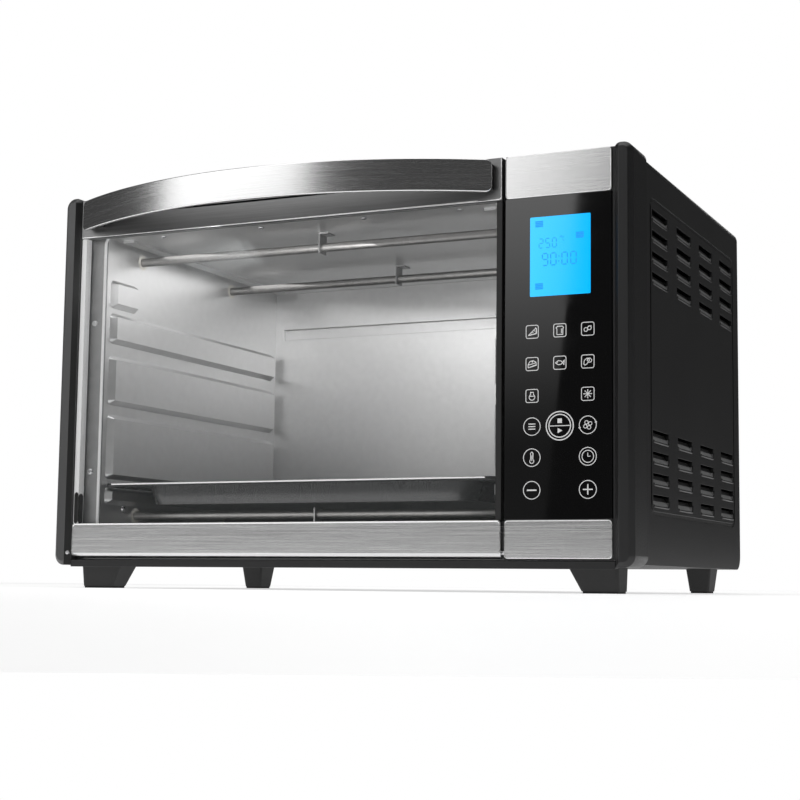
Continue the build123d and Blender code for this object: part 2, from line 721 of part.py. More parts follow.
display_x = (panel_right - display_right_inset - display_width, panel_right - display_right_inset)
display_z = (bar_bottom - display_top_drop - display_height, bar_bottom - display_top_drop)
post_places = [(x, z) for x in (window_x[0] + post_inset, window_x[1] - post_inset)
               for z in (window_z[0] + post_inset, window_z[1] - post_inset)]
board_y = glass_back + display_depth
with BuildPart() as panel_frame:
    skin_back = door_front + panel_sheet
    block((panel_left, trim_in), (skin_back, frame_front), (face_bottom - panel_skirt, face_top))
    block((panel_left, panel_right + fit_gap), (skin_back, glass_back), (trim_top, bar_bottom),
          mode=Mode.SUBTRACT)
    block((display_x[0] - fit_gap, display_x[1] + fit_gap), (skin_back, frame_front),
          (display_z[0] - fit_gap, display_z[1] + fit_gap), mode=Mode.SUBTRACT)
    for x, z in post_places:
        rod((x, frame_front, z), "y", post_r, board_y - frame_front)
    rod((panel_left - 1, hinge_y, hinge_z), "x", hinge_pin_r + running_gap,
        hinge_pin_out, mode=Mode.SUBTRACT)
save(panel_frame, "panel_frame")

with BuildPart() as display_module:
    block(display_x, (glass_back, board_y), display_z)
save(display_module, "display_module")

with BuildPart() as touch_board:
    block((window_x[0] + board_gap, window_x[1] - board_gap), (board_y, board_y + board_thick),
          (window_z[0] + board_gap, window_z[1] - board_gap))
    chip_y, chip_z = board_y + board_thick, trim_top + chip_rise
    for index in range(chip_count):
        x0 = window_x[0] + chip_first + chip_pitch * index
        block((x0, x0 + chip_size[0]), (chip_y, chip_y + chip_size[1]),
              (chip_z, chip_z + chip_size[2]))
save(touch_board, "touch_board")

power_x = (cav_right + power_side, wrap_in - power_wrap_gap)
power_y = (front_y + power_front, rear_panel_y - rear_lip - power_rear_gap)
power_z = pan_top + power_rise
with BuildPart() as power_board:
    block(power_x, power_y, (power_z, power_z + board_thick))
    deck = power_z + board_thick
    parts_on_board = [((relay_place[0], relay_place[1] + relay_pitch * index), relay_size)
                      for index in range(relay_count)]
    parts_on_board.append((transformer_place, transformer_size))
    for (x, y), size in parts_on_board:
        x0, y0 = power_x[0] + x, power_y[0] + y
        block((x0, x0 + size[0]), (y0, y0 + size[1]), (deck, deck + size[2]))
    rod((power_x[0] + capacitor_place[0], power_y[0] + capacitor_place[1], deck), "z",
        capacitor_r, capacitor_height)
    for x in (power_x[0] + power_post_inset, power_x[1] - power_post_inset):
        for y in (power_y[0] + power_post_inset, power_y[1] - power_post_inset):
            rod((x, y, pan_top), "z", power_post_r, power_z - pan_top)
save(power_board, "power_board")

# ---- Sensor and cut-out ----
with BuildPart() as temperature_probe:
    rod((cav_right - probe_reach, probe_y, probe_z), "x", probe_r,
        probe_reach + liner + probe_tail)
    rod((cav_right + liner, probe_y, probe_z), "x", probe_nut_r, probe_nut_depth)
save(temperature_probe, "temperature_probe")

with BuildPart() as thermal_fuse:
    plate_top = cav_top + liner + fuse_plate[2]
    block((cav_mid - fuse_plate[0] / 2, cav_mid + fuse_plate[0] / 2),
          (fan_y - fuse_plate[1] / 2, fan_y + fuse_plate[1] / 2), (cav_top + liner, plate_top))
    rod((cav_mid, fan_y, plate_top), "z", fuse_r, fuse_height)
save(thermal_fuse, "thermal_fuse")

# ---- Convection fan ----
housing_x = cav_right + liner
housing_back = housing_x + fan_housing_depth
with BuildPart() as fan_housing:
    rod((housing_x, fan_y, fan_z), "x", fan_housing_r, fan_housing_depth)
    rod((housing_x, fan_y, fan_z), "x", fan_housing_r - liner, fan_housing_depth - liner,
        mode=Mode.SUBTRACT)
    rod((housing_x, fan_y, fan_z), "x", 2 * fan_shaft_r, fan_housing_depth,
        mode=Mode.SUBTRACT)
save(fan_housing, "fan_housing")

bracket_x = housing_back + motor_gap
with BuildPart() as motor_bracket:
    rod((bracket_x, fan_y, fan_z), "x", motor_r + bracket_rim, bracket_thick)
    with Locations(Location((bracket_x, fan_y, fan_z), (0, -90, 0))):
        with PolarLocations(motor_r, 3):
            Cylinder(bracket_post_r, motor_gap, align=(Align.CENTER, Align.CENTER, Align.MIN))
    rod((bracket_x - 1, fan_y, fan_z), "x", 2 * fan_shaft_r, bracket_thick + 2,
        mode=Mode.SUBTRACT)
save(motor_bracket, "motor_bracket")

motor_x = bracket_x + bracket_thick
with BuildPart() as fan_motor:
    rod((motor_x, fan_y, fan_z), "x", motor_r, motor_length)
    rod((motor_x + motor_length, fan_y, fan_z), "x", bearing_r, bearing_depth)
    rod((motor_x - 1, fan_y, fan_z), "x", fan_shaft_r + running_gap,
        motor_length + bearing_depth + 2,
        mode=Mode.SUBTRACT)
save(fan_motor, "fan_motor")

impeller_x = housing_x + impeller_gap
with BuildPart() as fan_shaft:
    rod((impeller_x - shaft_nose, fan_y, fan_z), "x", fan_shaft_r,
        motor_x + motor_length + shaft_nose - impeller_x)
save(fan_shaft, "fan_shaft")

with BuildPart() as fan_impeller:
    rod((impeller_x + impeller_depth - impeller_plate, fan_y, fan_z), "x", impeller_r,
        impeller_plate)
    rod((impeller_x, fan_y, fan_z), "x", 3 * fan_shaft_r, impeller_depth)
    blade_depth = impeller_depth - impeller_plate
    with Locations(Location((impeller_x + blade_depth / 2, fan_y, fan_z), (0, 90, 0))):
        with PolarLocations(impeller_r * blade_middle, blade_count):
            Box(impeller_r * blade_reach, blade_thick, blade_depth, rotation=(0, 0, blade_turn))
    rod((impeller_x, fan_y, fan_z), "x", fan_shaft_r, impeller_depth, mode=Mode.SUBTRACT)
save(fan_impeller, "fan_impeller")

# ---- Cable gland ----
with BuildPart() as cable_gland:
    outer_face = rear_panel_y + sheet
    rod((gland_x, rear_panel_y - gland_inside, gland_z), "y", gland_r, gland_inside + sheet)
    rod((gland_x, outer_face, gland_z), "y", gland_r + gland_flange, gland_flange_depth)
    rod((gland_x, outer_face + gland_flange_depth, gland_z), "y", gland_r - 1, gland_outside)
    rod((gland_x, rear_panel_y - 2 * gland_inside, gland_z), "y", gland_bore_r,
        4 * gland_inside, mode=Mode.SUBTRACT)
save(cable_gland, "cable_gland")

# ---- Door ----
strip_in = (door_left + strip_width, door_right - strip_width)
glass_y = (door_front + door_skin, door_front + door_skin + glass_thick)
door_glass_z = (trim_top - glass_capture, bar_bottom + glass_capture)
with BuildPart() as door_glass:
    block(strip_in, glass_y, door_glass_z)
save(door_glass, "door_glass")

with BuildPart() as door_bottom_trim:
    block((door_left, door_right), (door_front, door_back), (face_bottom, trim_top))
    fillet(door_bottom_trim.edges().filter_by(Axis.Y).group_by(Axis.Z)[-1], corner_r)
    low_edges = door_bottom_trim.edges().filter_by(Axis.X).group_by(Axis.Z)[0]
    fillet(low_edges, door_thick / 2 - edge_slack)
    block(strip_in, glass_y, (door_glass_z[0], trim_top), mode=Mode.SUBTRACT)
    for x0 in (door_left, door_right - hinge_pin_in):
        rod((x0, hinge_y, hinge_z), "x", hinge_pin_r, hinge_pin_in, mode=Mode.SUBTRACT)
save(door_bottom_trim, "door_bottom_trim")

bow_half = handle_span / 2
bow_radius = (bow_half ** 2 + handle_sag ** 2) / (2 * handle_sag)
bow_centre = (door_mid, front_y - handle_reach + bow_radius)
handle_z = (face_top - handle_drop - handle_height, face_top - handle_drop)
handle_mid_z = (handle_z[0] + handle_z[1]) / 2
mount_x = {side: door_mid + side * (bow_half - mount_length / 2 - mount_end) for side in (-1, 1)}
screw_tip_y = door_front - handle_screw_bite
with BuildPart() as door_top_bar:
    block((door_left, door_right), (door_front, door_back), (bar_bottom, face_top))
    block(strip_in, glass_y, (bar_bottom, door_glass_z[1]), mode=Mode.SUBTRACT)
    for side in (-1, 1):
        rod((mount_x[side], door_front, handle_mid_z), "y", screw_r, door_thick,
            mode=Mode.SUBTRACT)
        rod((mount_x[side], door_back - screw_head_h, handle_mid_z), "y", screw_head_r,
            screw_head_h, mode=Mode.SUBTRACT)
save(door_top_bar, "door_top_bar")

for word, x in (("left", (door_left, strip_in[0])), ("right", (strip_in[1], door_right))):
    with BuildPart() as strip:
        block(x, (glass_y[0], door_back), (trim_top, bar_bottom))
    save(strip, f"door_{word}_strip")

with BuildPart() as handle_band:
    with BuildSketch(Plane.XY.offset(handle_z[0])) as bow:
        with Locations(bow_centre):
            Circle(bow_radius)
            Circle(bow_radius - handle_thick, mode=Mode.SUBTRACT)
        with Locations((door_mid, bow_centre[1] - bow_radius)):
            Rectangle(handle_span, 4 * handle_sag, mode=Mode.INTERSECT)
    extrude(bow.sketch, amount=handle_height)
    ends = handle_band.edges().filter_by(Axis.Z, reverse=True).filter_by(GeomType.LINE)
    fillet(ends, handle_corner_r)
save(handle_band, "handle_band")

with BuildPart() as handle_mounts:
    for side in (-1, 1):
        with BuildSketch(Plane.XY.offset(handle_mid_z - mount_height / 2)) as wedge:
            with Locations(bow_centre):
                Circle(bow_radius - handle_thick)
            with Locations((mount_x[side], door_front - handle_sag)):
                Rectangle(mount_length, 2 * handle_sag, mode=Mode.INTERSECT)
        extrude(wedge.sketch, amount=mount_height)
    for side in (-1, 1):
        rod((mount_x[side], screw_tip_y, handle_mid_z), "y", screw_r, handle_bore,
            mode=Mode.SUBTRACT)
save(handle_mounts, "handle_mounts")

with BuildPart() as handle_screws:
    for side in (-1, 1):
        rod((mount_x[side], screw_tip_y, handle_mid_z), "y", screw_r,
            door_back - screw_head_h - screw_tip_y)
        rod((mount_x[side], door_back - screw_head_h, handle_mid_z), "y", screw_head_r,
            screw_head_h)
save(handle_screws, "handle_screws")

with BuildPart() as hinge_pins:
    pin_length = hinge_pin_in + hinge_pin_out
    rod((door_left - hinge_pin_out, hinge_y, hinge_z), "x", hinge_pin_r, pin_length)
    rod((door_right - hinge_pin_in, hinge_y, hinge_z), "x", hinge_pin_r, pin_length)
save(hinge_pins, "hinge_pins")

with BuildPart() as door_stop_arms:
    for side in (-1, 1):
        place = Plane((arm_x[side] - arm_thick / 2, hinge_y, hinge_z), x_dir=(0, 1, 0),
                      z_dir=(1, 0, 0))
        with BuildSketch(place) as arc:
            Circle(arm_radius + arm_width / 2)
            Circle(arm_radius - arm_width / 2, mode=Mode.SUBTRACT)
            reach = 2 * arm_radius
            low_turn = radians(arm_head_angle)
            with BuildLine():
                Polyline((0, 0), (reach * cos(low_turn), reach * sin(low_turn)),
                         (reach, reach), (door_thick / 2, reach), (door_thick / 2, 0), close=True)
            make_face(mode=Mode.INTERSECT)
            with Locations((arm_radius * cos(low_turn), arm_radius * sin(low_turn))):
                Circle(arm_head_r)
        extrude(arc.sketch, amount=arm_thick)
save(door_stop_arms, "door_stop_arms")

# ---- Baking tray ----
tray_x = (cav_left + tray_side_gap, cav_right - tray_side_gap)
tray_y = (frame_back + tray_front_gap, frame_back + tray_front_gap + tray_length)
tray_mid = ((tray_x[0] + tray_x[1]) / 2, (tray_y[0] + tray_y[1]) / 2)
rim_size = (tray_x[1] - tray_x[0], tray_y[1] - tray_y[0])
tub_size = (rim_size[0] - 2 * tray_rim, rim_size[1] - 2 * tray_rim)
with BuildPart() as bake_tray:
    with BuildSketch(Plane.XY.offset(tray_level - tray_bead)) as rim:
        with Locations(tray_mid):
            RectangleRounded(*rim_size, tray_corner_r / 2)
    extrude(rim.sketch, amount=tray_bead)
    with BuildSketch(Plane.XY.offset(tray_level - tray_bead)) as under:
        with Locations(tray_mid):
            RectangleRounded(rim_size[0] - 2 * tray_sheet, rim_size[1] - 2 * tray_sheet,
                             tray_corner_r / 2 - tray_sheet)
    extrude(under.sketch, amount=tray_bead - tray_sheet, mode=Mode.SUBTRACT)
    down = Plane((*tray_mid, tray_level), x_dir=(1, 0, 0), z_dir=(0, 0, -1))
    with BuildSketch(down) as tub:
        RectangleRounded(*tub_size, tray_corner_r)
    extrude(tub.sketch, amount=tray_depth, taper=tray_draft)
    with BuildSketch(down) as hollow:
        RectangleRounded(tub_size[0] - 2 * tray_sheet, tub_size[1] - 2 * tray_sheet,
                         tray_corner_r - tray_sheet)
    extrude(hollow.sketch, amount=tray_depth - tray_sheet, taper=tray_draft, mode=Mode.SUBTRACT)
save(bake_tray, "bake_tray")
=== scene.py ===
"""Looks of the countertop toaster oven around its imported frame. Metres, +Z up, front to -Y."""
import math

import bmesh
import bpy
from mathutils import Matrix, Vector


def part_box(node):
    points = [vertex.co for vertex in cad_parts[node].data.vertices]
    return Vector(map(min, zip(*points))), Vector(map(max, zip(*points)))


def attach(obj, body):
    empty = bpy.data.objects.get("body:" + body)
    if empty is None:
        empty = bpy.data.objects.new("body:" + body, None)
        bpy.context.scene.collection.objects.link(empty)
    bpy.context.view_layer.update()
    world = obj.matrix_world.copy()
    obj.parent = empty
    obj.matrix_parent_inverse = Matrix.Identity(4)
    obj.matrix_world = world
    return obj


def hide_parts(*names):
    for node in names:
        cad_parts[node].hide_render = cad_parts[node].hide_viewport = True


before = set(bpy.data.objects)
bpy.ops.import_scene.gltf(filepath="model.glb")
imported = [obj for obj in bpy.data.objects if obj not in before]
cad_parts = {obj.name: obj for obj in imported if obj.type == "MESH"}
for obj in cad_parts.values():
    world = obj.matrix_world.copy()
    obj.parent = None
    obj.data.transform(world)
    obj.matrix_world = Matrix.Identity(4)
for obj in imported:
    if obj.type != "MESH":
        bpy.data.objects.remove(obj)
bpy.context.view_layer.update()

MM = 0.001

# ---- Places taken from the frame ----
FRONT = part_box("right_trim")[0].y
glass_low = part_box("control_glass")[0]
display_low, display_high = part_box("display_module")
wrap_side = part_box("cabinet_wrap")[1].x


# ------------------------------------------------------------------ materials
def material(name, color, roughness, metallic=0.0, **sockets):
    """A principled material; sockets are its constant inputs by name, with _ for a space."""
    mat = bpy.data.materials.new(name)
    mat.use_nodes = True
    tree = mat.node_tree
    shader = tree.nodes["Principled BSDF"]
    shader.inputs["Base Color"].default_value = (*color, 1.0)
    shader.inputs["Roughness"].default_value = roughness
    shader.inputs["Metallic"].default_value = metallic
    for key, value in sockets.items():
        shader.inputs[key.replace("_", " ")].default_value = value
    return mat


def noise(mat, scale, detail=3.0, rough=0.6, stretch=(1.0, 1.0, 1.0)):
    """Noise in object space, stretched along the axes; returns its factor output."""
    tree = mat.node_tree
    coords = tree.nodes.new("ShaderNodeTexCoord")
    mapping = tree.nodes.new("ShaderNodeMapping")
    mapping.inputs["Scale"].default_value = stretch
    texture = tree.nodes.new("ShaderNodeTexNoise")
    texture.inputs["Scale"].default_value = scale
    texture.inputs["Detail"].default_value = detail
    texture.inputs["Roughness"].default_value = rough
    tree.links.new(coords.outputs["Object"], mapping.inputs["Vector"])
    tree.links.new(mapping.outputs["Vector"], texture.inputs["Vector"])
    return texture.outputs["Fac"]


def remap(mat, value, low, high, start=0.3, end=0.7):
    """Value from start..end spread over low..high, clamped."""
    node = mat.node_tree.nodes.new("ShaderNodeMapRange")
    node.inputs["From Min"].default_value = start
    node.inputs["From Max"].default_value = end
    node.inputs["To Min"].default_value = low
    node.inputs["To Max"].default_value = high
    mat.node_tree.links.new(value, node.inputs["Value"])
    return node.outputs["Result"]


def drive(mat, socket, value):
    """Links a value to one of the shader's inputs."""
    mat.node_tree.links.new(value, mat.node_tree.nodes["Principled BSDF"].inputs[socket])


def mix_color(mat, value, first, second):
    """Colour between two, by a value."""
    ramp = mat.node_tree.nodes.new("ShaderNodeValToRGB")
    ramp.color_ramp.elements[0].color = (*first, 1.0)
    ramp.color_ramp.elements[1].color = (*second, 1.0)
    mat.node_tree.links.new(value, ramp.inputs["Fac"])
    drive(mat, "Base Color", ramp.outputs["Color"])


def bump(mat, value, strength, distance):
    """Fine relief from a value."""
    node = mat.node_tree.nodes.new("ShaderNodeBump")
    node.inputs["Strength"].default_value = strength
    node.inputs["Distance"].default_value = distance
    mat.node_tree.links.new(value, node.inputs["Height"])
    drive(mat, "Normal", node.outputs["Normal"])


BRUSH_STRETCH = (0.005, 0.005, 1.0)


def brushed(name, dark, light, low_rough, high_rough):
    """Steel brushed along X: long fine scratches in tone, roughness and relief."""
    mat = material(name, light, high_rough, 1.0)
    grain = noise(mat, 2600.0, 4.0, 0.65, BRUSH_STRETCH)
    mix_color(mat, remap(mat, grain, 0.0, 1.0), dark, light)
    drive(mat, "Roughness", remap(mat, grain, low_rough, high_rough))
    bump(mat, grain, 0.35, 0.00006)
    return mat


def painted(name, color, light, rough_low, rough_high, speckle=900.0, relief=0.00005):
    """Paint or moulded plastic: slow tone change, fine orange peel."""
    mat = material(name, color, rough_high)
    slow = noise(mat, 9.0, 2.0, 0.5)
    fine = noise(mat, speckle, 2.0, 0.5)
    mix_color(mat, remap(mat, slow, 0.0, 1.0), color, light)
    drive(mat, "Roughness", remap(mat, fine, rough_low, rough_high))
    bump(mat, fine, 0.25, relief)
    return mat


def sheet_metal(name, dark, light, low_rough, high_rough, cell=70.0):
    """Bare aluminised sheet: soft mottling in tone and gloss."""
    mat = material(name, light, high_rough, 1.0)
    mottle = noise(mat, cell, 5.0, 0.55)
    fine = noise(mat, 1200.0, 2.0, 0.5, (0.08, 1.0, 1.0))
    mix_color(mat, remap(mat, mottle, 0.0, 1.0), dark, light)
    drive(mat, "Roughness", remap(mat, mottle, low_rough, high_rough))
    bump(mat, fine, 0.15, 0.00004)
    return mat


silver = brushed("brushed_silver", (0.66, 0.66, 0.66), (0.80, 0.80, 0.80), 0.20, 0.29)
polished = material("polished_edge", (0.92, 0.92, 0.92), 0.16, 1.0)
drive(polished, "Roughness", remap(polished, noise(polished, 400.0), 0.12, 0.22))
# The top bar is brushed steel like the trims; its dark tone is painted shade and painted reflection
# from under the handle.
bar_steel_painted_shade = brushed("top_bar_painted_shade", (0.20, 0.20, 0.20), (0.27, 0.27, 0.27), 0.34, 0.44)
cabinet_paint = painted("cabinet_paint", (0.011, 0.011, 0.0115), (0.014, 0.014, 0.0145), 0.28, 0.36)
# The louvre lips' grey, far lighter than the cabinet's black paint, is a painted highlight.
lip_painted_highlight = painted("lip_painted_highlight", (0.22, 0.22, 0.22), (0.27, 0.27, 0.27), 0.30, 0.40)
rear_paint = painted("rear_paint", (0.014, 0.014, 0.014), (0.018, 0.018, 0.018), 0.45, 0.55)
trim_black = painted("trim_black", (0.008, 0.008, 0.0085), (0.011, 0.011, 0.0115), 0.32, 0.42)
# The left trim's grey is a lit copy of the right trim's black: painted light on the same plastic.
trim_grey = painted("trim_grey", (0.060, 0.060, 0.061), (0.075, 0.075, 0.076), 0.34, 0.44)
foot_black = painted("foot_black", (0.018, 0.018, 0.018), (0.024, 0.024, 0.024), 0.50, 0.65,
                     1500.0, 0.0001)
rubber = painted("foot_rubber", (0.012, 0.012, 0.012), (0.016, 0.016, 0.016), 0.75, 0.9, 700.0)
liner_steel = sheet_metal("liner_steel", (0.70, 0.70, 0.70), (0.76, 0.76, 0.76), 0.36, 0.44, 160.0)
frame_steel = sheet_metal("frame_steel", (0.30, 0.30, 0.30), (0.36, 0.36, 0.36), 0.40, 0.48, 160.0)
# White on the cavity mouth's rolled steel edge: a painted highlight.
white_painted_highlight = painted("mouth_bead_painted_highlight", (0.92, 0.92, 0.92), (0.98, 0.98, 0.98), 0.30, 0.38)
# Light grey for the door's left strip: a painted highlight, the lit copy of the strip finish that
# is black on the shaded right strip.
left_strip_painted_highlight = painted("left_strip_painted_highlight", (0.84, 0.84, 0.84), (0.90, 0.90, 0.90), 0.30, 0.40)
sheath = sheet_metal("heater_sheath", (0.30, 0.295, 0.29), (0.38, 0.37, 0.36), 0.36, 0.5, 160.0)
zinc = sheet_metal("zinc", (0.55, 0.55, 0.56), (0.75, 0.75, 0.76), 0.2, 0.35, 300.0)
ceramic = painted("ceramic", (0.72, 0.70, 0.64), (0.80, 0.78, 0.72), 0.5, 0.7)
board_green = painted("board_green", (0.01, 0.10, 0.04), (0.015, 0.13, 0.05), 0.3, 0.45, 300.0)
enamel = painted("tray_enamel", (0.020, 0.020, 0.021), (0.028, 0.028, 0.029), 0.24, 0.30,
                 900.0, 0.00002)
# Flat black for the handle mounts. The same black stands as painted shade on the door's right
# strip, in the louvre throats, on the left trim's bevel, in the pressed outline round the louvres
# and in the recess patches at the door strip's foot.
black_and_painted_shade = painted("black_and_painted_shade", (0.006, 0.006, 0.006), (0.010, 0.010, 0.010), 0.35, 0.5)
fan_alloy = sheet_metal("fan_alloy", (0.6, 0.6, 0.61), (0.74, 0.74, 0.75), 0.25, 0.4, 120.0)


def black_glass():
    """Back-printed touch glass: near black under a glossy face with faint wiping marks."""
    mat = material("panel_glass", (0.0015, 0.0015, 0.0017), 0.04, Specular_IOR_Level=0.9)
    smear = noise(mat, 14.0, 4.0, 0.6, (1.0, 1.0, 2.2))
    drive(mat, "Roughness", remap(mat, smear, 0.02, 0.06))
    return mat


def clear_glass():
    """Door glass: mostly see-through, with a grey body and a glossy face."""
    mat = material("door_glass", (0.20, 0.21, 0.21), 0.03, Alpha=0.08, Specular_IOR_Level=0.6)
    smear = noise(mat, 10.0, 4.0, 0.6, (1.0, 1.0, 2.0))
    drive(mat, "Roughness", remap(mat, smear, 0.02, 0.06))
    return mat


def lit_display():
    """Back-lit display: cyan, a little paler towards its left."""
    mat = material("display_light", (0.0, 0.20, 0.35), 0.08, Emission_Strength=1.0)
    tree = mat.node_tree
    coords = tree.nodes.new("ShaderNodeTexCoord")
    mapping = tree.nodes.new("ShaderNodeMapping")
    width = display_high.x - display_low.x
    mapping.inputs["Location"].default_value = (-display_low.x / width, 0, 0)
    mapping.inputs["Scale"].default_value = (1 / width, 1, 1)
    split = tree.nodes.new("ShaderNodeSeparateXYZ")
    ramp = tree.nodes.new("ShaderNodeValToRGB")
    ramp.color_ramp.elements[0].color = (0.030, 0.52, 1.0, 1)
    ramp.color_ramp.elements[1].color = (0.0, 0.40, 0.95, 1)
    tree.links.new(coords.outputs["Object"], mapping.inputs["Vector"])
    tree.links.new(mapping.outputs["Vector"], split.inputs["Vector"])
    tree.links.new(split.outputs["X"], ramp.inputs["Fac"])
    drive(mat, "Emission Color", ramp.outputs["Color"])
    return mat


touch_glass = black_glass()
door_glass = clear_glass()
display_light = lit_display()
# Printed white with a faint glow of its own: the glow is painted light.
print_white_painted_glow = material("panel_print", (0.62, 0.62, 0.62), 0.5, Emission_Strength=0.25,
                       Emission_Color=(0.8, 0.8, 0.8, 1))
drive(print_white_painted_glow, "Roughness", remap(print_white_painted_glow, noise(print_white_painted_glow, 2500.0), 0.4, 0.6))
segment_ink = material("display_segments", (0.004, 0.10, 0.42), 0.3, Emission_Strength=1.0,
                       Emission_Color=(0.0, 0.26, 0.80, 1))
drive(segment_ink, "Roughness", remap(segment_ink, noise(segment_ink, 2500.0), 0.25, 0.4))

NODE_LOOKS = {
    cabinet_paint: "cabinet_wrap top_front_rail",
    rear_paint: "rear_panel base_pan",
    trim_black: "right_trim front_bottom_rail panel_frame",
    # left trim lighter than the right one: painted light
    trim_grey: "left_trim",
    foot_black: "front_foot_left front_foot_right rear_foot_left rear_foot_right cable_gland",
    rubber: "foot_pads",
    silver: "upper_panel_trim lower_panel_trim door_bottom_trim handle_band",
    bar_steel_painted_shade: "door_top_bar",
    liner_steel: "cavity_left_wall cavity_right_wall cavity_ceiling cavity_floor cavity_back",
    frame_steel: "face_frame door_stop_arms fan_housing motor_bracket heater_clips",
    # Left strip light grey and right strip black: painted highlight and painted shade on one strip
    # finish.
    left_strip_painted_highlight: "door_left_strip",
    black_and_painted_shade: "door_right_strip handle_mounts",
    sheath: "upper_front_heater upper_rear_heater lower_front_heater lower_rear_heater",
    zinc: "rear_screws foot_screws flange_screws handle_screws hinge_pins fan_shaft "
          "temperature_probe thermal_fuse fan_motor",
    ceramic: "heater_insulators",
    board_green: "touch_board power_board",
    enamel: "bake_tray",
    fan_alloy: "fan_impeller",
    touch_glass: "control_glass display_module",
    door_glass: "door_glass",
}
# Widths of the eased edges in mm.
EDGES = {
    "cabinet_wrap": 0.35, "rear_panel": 0.3, "base_pan": 0.3, "left_trim": 0.5, "right_trim": 0.5,
    "front_bottom_rail": 0.3, "top_front_rail": 0.3, "face_frame": 0.25, "panel_frame": 0.3,
    "bake_tray": 0.4, "door_top_bar": 0.5, "front_foot_left": 0.5, "front_foot_right": 0.5,
    "rear_foot_left": 0.5, "rear_foot_right": 0.5, "cavity_ceiling": 0.3, "cavity_floor": 0.3,
    "cavity_back": 0.3, "cavity_left_wall": 0.7, "cavity_right_wall": 0.7,
    "door_left_strip": 0.4, "door_right_strip": 0.4, "handle_mounts": 0.6, "control_glass": 0.15,
}
# These edges are polished too.
BRIGHT_EDGES = {"door_bottom_trim": 0.6, "upper_panel_trim": 0.35, "lower_panel_trim": 0.35}
WELD_REACH = 1e-6
EDGE_SEGMENTS = 3
SHARP_ANGLE = math.radians(32)


def ease(node, width, edge_material=None):
    """Welds the node's facets and eases its sharp edges, as a modifier."""
    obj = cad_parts[node]
    weld = obj.modifiers.new("weld", "WELD")
    weld.merge_threshold = WELD_REACH
    bevel = obj.modifiers.new("ease", "BEVEL")
    bevel.width = width * MM
    bevel.segments = EDGE_SEGMENTS
    bevel.limit_method = "ANGLE"
    bevel.angle_limit = SHARP_ANGLE
    bevel.harden_normals = False
    if edge_material:
        obj.data.materials.append(edge_material)
        bevel.material = 1


for look, names in NODE_LOOKS.items():
    for node in names.split():
        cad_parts[node].data.materials.clear()
        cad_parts[node].data.materials.append(look)
for node, width in EDGES.items():
    ease(node, width)
for node, width in BRIGHT_EDGES.items():
    ease(node, width, polished)


# ------------------------------------------------------------------ tools for new pieces
def add_piece(name, mesh_maker, look, body):
    """A mesh made by mesh_maker(bm), with its look, riding on a body."""
    mesh = bpy.data.meshes.new(name)
    bm = bmesh.new()
    mesh_maker(bm)
    bm.normal_update()
    bm.to_mesh(mesh)
    bm.free()
    mesh.materials.append(look)
    obj = bpy.data.objects.new(name, mesh)
    bpy.context.scene.collection.objects.link(obj)
    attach(obj, body)
    return obj


def rounded_outline(x0, x1, z0, z1, radius, steps=4):
    """Points of a rectangle with rounded corners, anticlockwise seen from the front."""
    points = []
    for quarter, (cx, cz) in enumerate(((x1 - radius, z1 - radius), (x0 + radius, z1 - radius),
                                        (x0 + radius, z0 + radius), (x1 - radius, z0 + radius))):
        for step in range(steps + 1):
            angle = math.radians(90 * (quarter + step / steps))
            points.append((cx + radius * math.cos(angle), cz + radius * math.sin(angle)))
    return points


def node_outline(node, inset, radius):
    """The rounded outline of a node's front view, in mm, drawn inside its edges."""
    low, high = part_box(node)
    return rounded_outline(low.x / MM + inset, high.x / MM - inset, low.z / MM + inset,
                           high.z / MM - inset, radius)


LINE = 0.55            # mm, width of a printed line
BEAD_STEPS = 6
DOT_STEPS = 12


